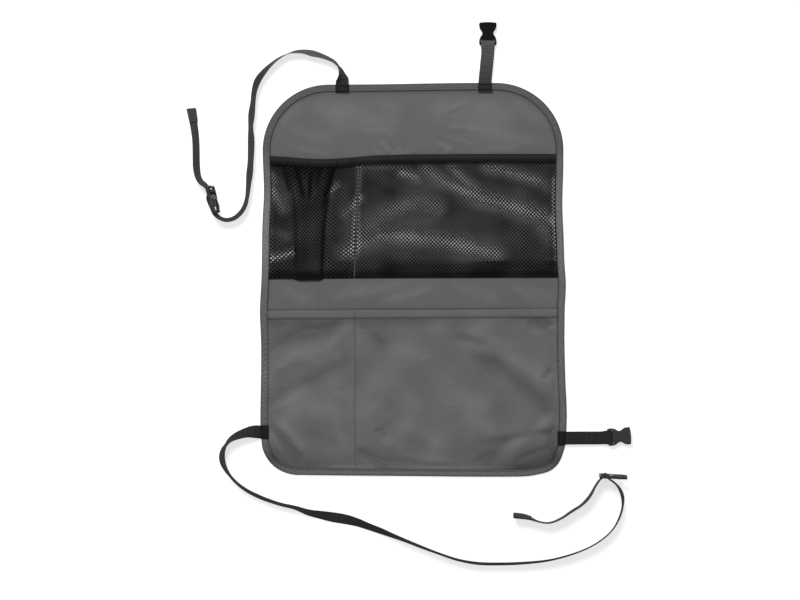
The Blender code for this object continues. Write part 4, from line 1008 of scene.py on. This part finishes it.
def netLift(x, y):
    # height of the net above the panel: it billows between its seams and the places where it rests,
    # and its band stands off evenly
    seam, divider = insetOf(x, y) - pocketInset, np.abs(x - netDividerX(y))
    level = mouthY(x) - netSizes["bandHeight"] - 0.002
    free = offSeam(seam, 0.012) * offSeam(divider, 0.012) * offSeam(y - netBottomY(x), 0.014)
    billow = 0.8 + 0.35 * swell(x, y, 11, 0.09, 1.0)
    lift = netSizes["rise"] * np.clip(billow, 0.35, 1.4) + foldsAt(x, y, netFolds)
    lift = lift * free * (1 - 0.97 * netRestAt(x, y))
    plateau = netSizes["rise"] * 0.8 * offSeam(seam) * offSeam(divider)
    return between(lift, plateau + 0.0008, ramp(y - level, -0.010, 0.010))


def holedCloth(columns, rows, straight, slant):
    # a net of threads that cross on the slant: round holes at the middles and corners of a grid of
    # cells. Gives places in cells, faces as corner numbers, and which places are on a thread's line.
    middles = np.indices((columns, rows)).reshape(2, -1).T + 0.5
    centres = np.concatenate([middles, np.indices((columns - 1, rows - 1)).reshape(2, -1).T + 1])
    turn = np.arange(8) * math.pi / 4
    odd = np.arange(8) % 2
    direction = np.stack([np.cos(turn), np.sin(turn)], 1)
    rim = direction * np.where(odd, slant, straight)[:, None]
    outer = direction * np.where(odd, math.sqrt(0.125), 0.5)[:, None]
    nextOne = (np.arange(8) + 1) % 8
    quads = np.stack([rim, outer, outer[nextOne], rim[nextOne]], 1)
    quads = (centres[:, None, None] + quads[None]).reshape(-1, 4, 2)
    triangles = []
    for count, edge, inward, half, order in (
        (columns, 0, 0.5, 0.5, 1), (columns, rows, -0.5, -0.5, 1),
        (rows, 0, 0.5, -0.5, -1), (rows, columns, -0.5, 0.5, -1),
    ):
        # along each edge: two corners on it, one half a cell inside
        at = np.arange(1, count)
        along = np.stack([at - half, at + half, at], 1)
        off = np.broadcast_to([edge, edge, edge + inward], along.shape)
        triangles.append(np.stack([along, off][::order], 2))
    triangles = np.concatenate(triangles)
    # corners in the same place, to 1 / 4096 of a cell, are one
    corners = np.concatenate([quads.reshape(-1, 2), triangles.reshape(-1, 2)])
    places, numbers = np.unique(np.round(corners * 4096).astype(np.int64), axis=0, return_inverse=True)
    numbers = numbers.reshape(-1)
    quadFaces = numbers[:len(quads) * 4].reshape(-1, 4)
    triangleFaces = numbers[len(quads) * 4:].reshape(-1, 3)
    places = places / 4096
    onThread = np.abs((places[:, 0] + places[:, 1]) * 2 % 2 - 1) > 0.98
    onThread |= np.abs((places[:, 0] - places[:, 1]) * 2 % 2 - 1) > 0.98
    return places, [quadFaces, triangleFaces], onThread


def netPiece(name, columns, rows, surfaceOf):
    # the holed cloth laid on a surface of two shares, its threads a little higher along their lines
    places, faceSets, onThread = holedCloth(columns, rows, netSizes["holeStraight"] / netSizes["cell"],
                                            netSizes["holeSlant"] / netSizes["cell"])
    points, shade = surfaceOf(places[:, 0] / columns, places[:, 1] / rows)
    points[:, 2] += np.where(onThread, netSizes["crown"], 0.0)
    # the net's painted light and shade, times each layer's painted shade
    light = netLight(points[:, 0], points[:, 1])
    piece = addPiece(name, settled(points), faceSets, netYarn, light=light * shade)
    return thicken(piece, netSizes["thread"])


def netRow(x, v):
    # y of the net at a share of the way from its lower edge to its mouth
    return between(netBottomY(x), mouthY(x) - netSizes["mouthGap"], v)


def netHeight(x, y):
    # the panel's surface, half of the thread and the net's own stand-off
    return panelSurface(x, y) + netSizes["clear"] + netLift(x, y)


def wideCell(u, v):
    # from the divider to the right seam, from the bottom seam up into the band
    level = netLevel(v)
    x = between(netDividerX(level), sideX(1, level, pocketInset), u)
    y = netRow(x, v)
    return np.stack([x, y, netHeight(x, y)], 1), 1.0


# shares of the cloth's width between the pleat's turns, and the turns themselves
pleatRuns = (0.245, 0.02, 0.075, 0.02, 0.265, 0.02, 0.075, 0.02, 0.26)


def narrowCell(u, v):
    # from the left seam to the divider with a box pleat: under, back and over, then the same mirrored
    level = netLevel(v)
    left, divider = sideX(-1, level, pocketInset), netDividerX(level)
    middle, half, depth, pitch = pleatAt(v)
    knots = np.concatenate([[0], np.cumsum(pleatRuns)])
    knots = knots / knots[-1]
    xs = [left, middle - half + depth, middle - half + depth, middle - half, middle - half,
          middle + half, middle + half, middle + half - depth, middle + half - depth, divider]
    layers = [0, 0, 1, 1, 2, 2, 1, 1, 0, 0]
    x, layer = np.zeros(len(u)), np.zeros(len(u))
    for k in range(len(pleatRuns)):
        share = (u - knots[k]) / (knots[k + 1] - knots[k])
        here = (share >= 0) & ((share < 1) | (k == len(pleatRuns) - 1))
        turning = layers[k] != layers[k + 1]
        outwards = 1 if k in (1, 5) else -1
        bulge = outwards * pitch / 2 * np.sin(math.pi * share) if turning else 0
        x = np.where(here, between(xs[k], xs[k + 1], share) + bulge, x)
        rise = (1 - np.cos(math.pi * share)) / 2 if turning else share
        layer = np.where(here, between(layers[k], layers[k + 1], rise), layer)
    y = netRow(x, v)
    lift = netHeight(x, y) + layer * pitch
    fan = (x - middle) / half
    gather = 0.0009 * v**1.3 * ramp(0.95, v, 0.08) * (1 + np.cos(fan * 7.5 + 0.6))
    # painted shade on the pleat's hidden layers
    hidden = ramp(1.7, layer, 0.4) * ramp(half + 0.001, np.abs(x - middle), 0.001)
    return np.stack([x, y, lift + gather * bell(fan, 1.9)], 1), 1 - 0.85 * hidden


def netHem(u, v):
    # the net's lower edge is turned up behind it, with painted shade on it
    level = between(netSizes["bottomRight"], netSizes["bottomRight"] + netSizes["hem"], v)
    x = between(sideX(-1, level, pocketInset) + 0.0008, sideX(1, level, pocketInset) - 0.0008, u)
    y = netBottomY(x) + 0.0005 + 0.0235 * v
    return np.stack([x, y, panelSurface(x, y) + 0.0003 + 0.15 * netLift(x, y)], 1), 0.25


def netPocket(sizes):
    # solidShare: cloth that is left between the holes, which are eight-sided
    wide = netPiece("netWideCell", 55, 32, wideCell)
    narrow = netPiece("netNarrowCell", 33, 32, narrowCell)
    hem = netPiece("netHem", 79, 4, netHem)
    solidShare = 1 - 4 * math.sqrt(2) * sizes["holeStraight"] * sizes["holeSlant"] / sizes["cell"]**2
    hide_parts("mesh_pocket")
    for piece, flat in ((wide, (0.301, 0.186)), (narrow, (0.182, 0.186)), (hem, (0.43, 0.024))):
        area = round(flat[0] * flat[1] * solidShare, 5)


# elastic band: a tape folded over the net's upper edge

bandLook = {
    "stations": 520, "endGap": 0.0006, "pucker": 0.00035, "puckerPitch": 0.011,
    "stitchDepth": 0.0093, "stitchPitch": 0.0028,
    # depth below the mouth in twelfths of the band's height, and share of its thickness
    "section": [
        (0.0, 0.5), (0.06, 0.72), (0.3, 0.9), (1.0, 0.98), (3.0, 1.0), (6.0, 1.0), (8.6, 0.99), (9.3, 0.9),
        (10.0, 0.98), (11.6, 1.0), (12.0, 0.95), (12.0, 0.75), (11.8, 0.68), (2.0, 0.66), (0.9, 0.5),
        (2.0, 0.34), (11.8, 0.32), (12.0, 0.25), (12.0, 0.05), (11.6, 0.0), (6.0, 0.0), (1.0, 0.02),
        (0.3, 0.1), (0.06, 0.28),
    ],
}


def elasticBand(look):
    # the tape's section carried along the mouth: as thick as the net that it holds, thicker over the
    # pleat, and puckered beside it; light: painted shade towards its top and bottom edges
    u = np.linspace(0, 1, look["stations"])
    left, right = sideX(-1, 0.182, pocketInset), sideX(1, 0.182, pocketInset)
    x = between(left + look["endGap"], right - look["endGap"], u)
    mouth = mouthY(x)
    middle, half, _, pitch = netSizes["pleatTop"]
    over = ramp(half + 0.004, np.abs(x - middle), 0.005) * 2 * pitch
    pucker = look["pucker"] * np.sin(x * 2 * math.pi / look["puckerPitch"])
    pucker *= ramp(0.075, np.abs(x - middle), 0.03)
    base = netHeight(x, mouth - 0.004)
    low, high = base - 0.0010, base + 0.0014 + over + np.abs(pucker) * 2
    tall = netSizes["bandHeight"] + pucker
    depth, share = np.array(look["section"]).T
    depth = depth / 12
    y = mouth[:, None] - depth[None, :] * tall[:, None]
    z = between(low[:, None], high[:, None], share[None, :])
    points = np.stack([np.broadcast_to(x[:, None], y.shape), y, z], 2)
    uv = lengthMap(x, np.append(depth, 0) * netSizes["bandHeight"])
    # painted shade towards the top and bottom edges
    light = 0.5 + 1.0 * ramp(0.36, np.abs(depth - 0.3), 0.2)[None, :] + 0 * y
    piece = gridPiece("elasticBand", settled(points[:, ::-1]), elasticTape,
                      light[:, ::-1], uv, roundColumns=True, capped=True)
    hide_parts("mesh_pocket_band")
    return np.stack([x, mouth - look["stitchDepth"], high - 0.0001], 1)


# lower pocket: cloth with a turned hem, sewn down at its sides, its bottom and its divider

lowerLook = {
    "topLeft": -0.0470, "topRight": -0.0443, "dividerX": -0.0863, "hem": 0.012, "cloth": 0.0010,
    "rise": 0.0042, "clear": 0.0008, "columns": 300, "rows": 220, "swell": 0.0011, "swellLength": 0.075,
    "hemSection": [
        (0.0004, -0.0002), (0.0012, 0.00025), (0.004, 0.00042), (0.0075, 0.00042), (0.0105, 0.0003),
        (0.0117, 0.00005), (0.0120, -0.0005), (0.0117, -0.00115), (0.0105, -0.0013), (0.004, -0.0013),
        (0.0006, -0.0013),
    ],
    "folds": [
        (-216, -214, -198, -240, 5, -2.6), (-202, -236, -166, -276, 8, -3.6),
        (-200, -212, -158, -262, 7, 2.4), (-216, -228, -196, -262, 5, 1.8),
        (-100, -64, -216, -98, 10, -2.8), (-100, -92, -214, -132, 11, 2.0),
        (-94, -124, -216, -184, 11, -2.8), (-214, -200, -150, -160, 13, 2.2),
        (-212, -206, -160, -180, 9, -1.4), (-156, -226, -92, -262, 11, -1.6),
        (-112, -206, -100, -268, 9, 2.0), (-84, -254, -36, -284, 8, -2.8), (-60, -228, -30, -250, 8, 1.8),
        (64, -104, 140, -136, 12, -3.0), (128, -128, 220, -210, 12, -3.6), (104, -92, 216, -166, 14, 2.4),
        (216, -67, 186, -60, 4, -3.0), (202, -76, 217, -68, 4, 2.2), (140, -254, 218, -212, 9, 2.6),
        (104, -246, 216, -226, 7, -2.8), (92, -284, 150, -236, 10, -2.6), (150, -270, 206, -252, 6, -2.2),
        (-82, -64, -40, -104, 9, -2.4), (-86, -62, -126, -100, 9, 2.4), (20, -74, 90, -116, 14, 2.0),
        (-20, -216, 44, -254, 15, 2.2), (188, -226, 213, -194, 8, 3.0), (-70, -146, 20, -196, 18, 1.8),
        (194, -150, 208, -134, 5, -2.2), (-56, -224, -42, -240, 8, -2.0), (-34, -106, 30, -120, 12, 1.5),
        (60, -176, 120, -198, 14, 1.8), (-190, -112, -130, -128, 10, 1.4), (-20, -262, 60, -276, 8, 1.6),
        (160, -60, 196, -86, 9, 1.6), (-190, -186, -100, -206, 16, 2.0), (150, -283, 206, -262, 7, -3.0),
        (214, -215, 206, -256, 6, -3.0), (66, -84, 112, -100, 7, -2.4), (116, -88, 150, -106, 8, 1.6),
        (-216, -136, -190, -130, 8, 1.6), (76, -206, 124, -232, 12, 1.6),
        (-200, -284, -150, -287, 6, -2.2), (-10, -236, 34, -254, 12, -1.4), (188, -66, 216, -84, 7, -2.0),
        (-178, -198, -72, -200, 20, 1.7), (206, -232, 214, -262, 8, -2.6), (52, -222, 96, -240, 14, 1.5),
        (150, -60, 214, -58, 5, -2.0), (-120, -176, -84, -172, 10, 1.4), (-216, -70, -150, -72, 9, -1.2),
        (-214, -90, -104, -80, 13, -2.3), (20, -90, 112, -93, 13, -1.5), (170, -67, 214, -70, 8, -2.4),
        (-216, -140, -206, -176, 8, 1.6), (-134, -112, -104, -116, 10, 1.6),
        (-60, -186, -34, -212, 14, 1.7), (116, -206, 126, -250, 12, 1.4),
    ],
}


def lowerTopY(x):
    # the pocket's mouth, a straight line from side to side
    share = (x + panelSizes["bottomWidth"] / 2) / panelSizes["bottomWidth"]
    return between(lowerLook["topLeft"], lowerLook["topRight"], share)


def lowerFree(x, y):
    # 0 on the seams, 1 well inside the pocket, a little less along the divider
    groove = 1 - 0.25 * np.exp(-np.abs(x - lowerLook["dividerX"]) / 0.0014)
    return offSeam(insetOf(x, y) - pocketInset + 0.0022, 0.035) ** 0.8 * groove


def lowerPocket(look):
    # height: the panel's surface, the stand-off inside the seams and the folds, which never reach
    # below the panel; above them the hem, turned over to the back
    low = footEnds(pocketInset)
    high = np.array([lowerTopY(-0.218), lowerTopY(0.218)]) - look["hem"]
    v = np.linspace(0, 1, look["rows"]) ** 1.25
    x, y = clothGrid(low, high, v, pocketInset, look["columns"])
    inHem = np.clip((y - low[0]) / (high[0] - low[0]), 0, 1) ** 6
    standOff = look["rise"] * lowerFree(x, y)
    relief = foldsAt(x, y, look["folds"]) + swell(x, y, 7, look["swellLength"], look["swell"])
    fade = ramp(insetOf(x, y), pocketInset, 0.012) * (1 - 0.8 * bell(x - look["dividerX"], 0.004))
    z = panelSurface(x, y) + look["clear"] + standOff + np.maximum(relief, -standOff) * fade
    z += (look["cloth"] + 0.0002) * inHem
    hemRise, hemOut = np.array(look["hemSection"]).T[..., None]
    hemRows = len(hemRise)
    z = np.concatenate([z, z[-1:] + hemOut])
    y = np.concatenate([y, y[-1:] + hemRise])
    x = np.concatenate([x, np.repeat(x[-1:], hemRows, 0)])
    relief = np.concatenate([relief, np.zeros((hemRows, look["columns"]))])
    # light: painted highlights on ridges and shade in valleys, the hem a little darker, painted shade along
    # the hem's stitches, the divider and the seams, most at the corners, and in a band under the hem; a
    # light and dark ripple along the hem near its stitches
    top, inside = lowerTopY(x), np.maximum(insetOf(x, y) - pocketInset, 0)
    fromHem = y - top + look["hem"]
    light = foldLight(relief, 0.0028) - 0.04 * smoothStep(fromHem / 0.002)
    light *= (1 - 0.6 * bell(fromHem, 0.0012)) * (1 - 0.3 * bell(x - look["dividerX"], 0.0008))
    light *= 1 - (0.35 - 0.3 * footShare(y)) * bell(inside, 0.0016)
    # painted shade in a band under the hem
    shadeBelowHem = ramp(y - top, -0.03, 0.015) * ramp(top - 0.0125, y, 0.001)
    light *= 1 - between(0.2, 0.1, ramp(x, -0.02, 0.1)) * shadeBelowHem
    # painted shade along the seams near the lower corners
    cornerShade = ramp(-0.235, y, 0.03) * ramp(np.abs(x), 0.1, 0.06)
    light *= 1 - cornerShade * between(0.36, 0.58, x > 0) * bell(inside, 0.012)
    light *= 1 + 0.1 * np.sin(x * 2 * math.pi / 0.0062) * bell(fromHem - 0.0025, 0.0014)
    piece = gridPiece("lowerPocket", settled(np.stack([x, y, z], 2)), pocketCloth, light)
    thicken(piece, look["cloth"])
    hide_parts("lower_pocket")
    front = np.stack([x, y, z + look["cloth"] / 2], 2)
    column = int(np.argmin(np.abs(x[-hemRows] - look["dividerX"])))
    return front[-hemRows], front[:-5, column]


# short straps: webbing looped round the rod of each female half, both ends sewn to the panel

femaleSizes = {
    "length": 0.0345, "height": 0.0086, "rodX": 0.00375, "rodRadius": 0.0018, "play": 0.0003,
    "loopReach": 1.78,
}
# painted light and shade along each short strap: a factor at each distance from its nearer sewn end
shortStraps = {
    "upper": {
        "start": (0.1079, None), "female": (4.3, 73.9, 90), "paintedShades": [(0, 0.5), (0.02, 0.7), (0.07, 1.3)],
    },
    "lower": {"start": (None, -0.2375), "female": (80.1, 2.4, 4.6), "paintedShades": [(0, 1.0)]},
}


def shortStrap(name, node, place, sizes, female, finish):
    # from the tack straight to the rod, half round it and back, one layer pitch above
    inner, edge = sewnEnd(place["start"], 1, sizes["lap"])
    *offset, heading = place["female"]
    heading = math.radians(heading)
    pull = np.array([math.cos(heading), math.sin(heading), 0])
    middle = np.array([*(edge + np.array(offset) * mm), female["height"] / 2])
    rod = middle + pull * (female["rodX"] - female["length"] / 2)
    reach = female["rodRadius"] + female["play"] + sizes["thickness"] / 2
    turn = np.radians(np.arange(-90, 91, 15))[:, None]
    loop = rod + reach * (pull * np.cos(turn) * female["loopReach"] + np.array([0, 0, 1.0]) * np.sin(turn))
    travel = unit(edge - inner)
    low = seamTop + sizes["thickness"] / 2
    near = rod[:2] - pull[:2] * 4 * reach
    run = (edge + near) / 2
    half = sizes["layerPitch"] / 2 + female["play"]
    lower = np.array([[*inner, low], [*edge, low], [*run, (low + rod[2]) / 2], [*near, rod[2] - half]])
    upper = lower + np.array([0, 0, sizes["layerPitch"]])
    upper[3, 2] = rod[2] + half
    seamSide, loopSide = np.array([-travel[1], travel[0], 0]), np.array([-pull[1], pull[0], 0])
    sides = np.array([seamSide, seamSide, (seamSide + loopSide) / 2, loopSide])
    centres = np.vstack([lower, loop, upper[::-1]])
    widths = np.vstack([sides, np.tile(loopSide, (len(loop), 1)), sides[::-1]])
    line, side, face = ribbonFrames(centres, widths, sizes["ringStep"])
    inEye = 0.0005 * ramp(0.011, np.linalg.norm(line - rod, axis=1), 0.004)
    strap = webbingPiece(name, line, side, face, sizes, finish, place["paintedShades"], True, inEye)
    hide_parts(node)
    return inner, edge


tackSizes = {
    "rows": (0.0012, 0.0019, 0.0026, 0.0086, 0.0093, 0.0100), "margin": 0.0012, "lift": 0.00005,
    "radius": 0.0003, "pitch": 0.0016,
}


def barTack(name, inner, edge, layers, sizes):
    # rows across the webbing near its end and near the panel's edge, and two rows along it between them
    travel = unit(edge - inner)
    across = np.array([-travel[1], travel[0]])
    height = seamTop + strapSizes["thickness"] + (layers - 1) * strapSizes["layerPitch"] + sizes["lift"]
    half = strapSizes["width"] / 2 - sizes["margin"]
    rows = [(out, -half, out, half) for out in sizes["rows"]]
    rows += [(sizes["rows"][2], side, sizes["rows"][3], side) for side in (-half, half)]
    lines = []
    for row in rows:
        ends = [inner + travel * out + across * side for out, side in (row[:2], row[2:])]
        start, end = [np.array([*place, height]) for place in ends]
        lines.append(between(start, end, np.linspace(0, 1, 12)[:, None]))
    stitches(name, lines, sizes["radius"], sizes["pitch"], darkThread, share=0.9)


bindingLine = edgeBinding(bindingLook)
clothPanel(panelLook)
print("panel and binding made")
netPocket(netSizes)
bandLine = elasticBand(bandLook)
print("net pocket made")
hemLine, lowerDividerLine = lowerPocket(lowerLook)
print("lower pocket made")
shortSewn = [
    shortStrap(name, node, shortStraps[place], strapSizes, femaleSizes, finish)
    for name, node, place, finish in (
        ("upperShortStrap", "upper_short_strap", "upper", paleWebbing),
        ("lowerShortStrap", "lower_short_strap", "lower", webbing),
    )
]
print("short straps made")

closedLine = np.vstack([bindingLine, bindingLine[:1]])
netDividerLine = wideCell(np.zeros(60), np.linspace(0.01, 0.93, 60))[0] + np.array([0, 0, 0.0007])
for name, line, radius, pitch, thread, slotName in (
    ("bindingStitches", closedLine, 0.00024, bindingLook["stitchPitch"], seamThread, "grey_tape"),
    ("bandStitches", bandLine, 0.0002, bandLook["stitchPitch"], darkThread, "black_elastic"),
    ("hemStitches", hemLine, 0.00022, 0.0030, seamThread, "grey_cloth"),
    ("lowerDividerStitches", lowerDividerLine, 0.00022, 0.0030, seamThread, "grey_cloth"),
    ("netDividerStitches", netDividerLine, 0.00032, 0.0032, paleThread, "grey_cloth"),
):
    stitches(name, [line], radius, pitch, thread)
for name, ends, layers in (
    ("upperLongTack", longSewn[0], 1), ("lowerLongTack", longSewn[1], 1),
    ("upperShortTack", shortSewn[0], 2), ("lowerShortTack", shortSewn[1], 2),
):
    barTack(name, *ends, layers, tackSizes)
print("stitches made")

for node in ("upper_male_buckle", "lower_male_buckle", "upper_female_buckle", "lower_female_buckle"):
    finish = blackPlastic if node == "upper_female_buckle" else greyPlastic
    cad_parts[node].material_slots[0].material = finish


# floor and light

stageLook = {"reach": 8.0, "height": -0.0003, "grey": (0.50, 0.50, 0.50), "glow": 0.66, "worldLight": 0.38}


def addStage(look):
    # a matt floor that looks white from the camera but throws less light back on the object, and a
    # white world that does the same
    floor = bpy.data.meshes.new("floor")
    corners = [(x * look["reach"], y * look["reach"], look["height"])
               for x, y in ((-1, -1), (1, -1), (1, 1), (-1, 1))]
    floor.from_pydata(corners, [], [(0, 1, 2, 3)])
    stage = bpy.data.objects.new("floor", floor)
    bpy.context.scene.collection.objects.link(stage)
    finish = Finish("floorPaper", look["grey"], 0.9, Specular_IOR_Level=0.0)
    path = finish.tree.nodes.new("ShaderNodeLightPath")
    seen = Wire(finish, path.outputs["Is Camera Ray"]) + Wire(finish, path.outputs["Is Glossy Ray"])
    glow = finish.add("ShaderNodeEmission", {}, {"Color": (1, 1, 1, 1), "Strength": seen * look["glow"]})
    both = finish.tree.nodes.new("ShaderNodeAddShader")
    finish.tree.links.new(finish.shader.outputs[0], both.inputs[0])
    finish.tree.links.new(glow.socket, both.inputs[1])
    finish.tree.links.new(both.outputs[0], finish.tree.nodes["Material Output"].inputs["Surface"])
    floor.materials.append(finish.material)
    world = bpy.data.worlds.new("studio")
    world.use_nodes = True
    bpy.context.scene.world = world
    tree = world.node_tree
    rays = tree.nodes.new("ShaderNodeLightPath")
    mix = tree.nodes.new("ShaderNodeMix")
    tree.links.new(rays.outputs["Is Camera Ray"], mix.inputs[0])
    mix.inputs[2].default_value = look["worldLight"]
    mix.inputs[3].default_value = 1.0
    tree.links.new(mix.outputs[0], tree.nodes["Background"].inputs["Strength"])
    tree.nodes["Background"].inputs["Color"].default_value = (1, 1, 1, 1)


def addLamp(name, place, size, power):
    data = bpy.data.lights.new(name, "AREA")
    data.shape = "DISK"
    data.size = size
    data.energy = power
    lamp = bpy.data.objects.new(name, data)
    lamp.location = place
    x, y, z = place
    lamp.rotation_euler = (math.atan2(math.hypot(x, y), z), 0, math.atan2(x, -y))
    bpy.context.scene.collection.objects.link(lamp)


addStage(stageLook)
addLamp("keyLamp", (-0.8, 2.0, 3.0), 1.5, 118)

bpy.context.scene.view_settings.view_transform = "Standard"
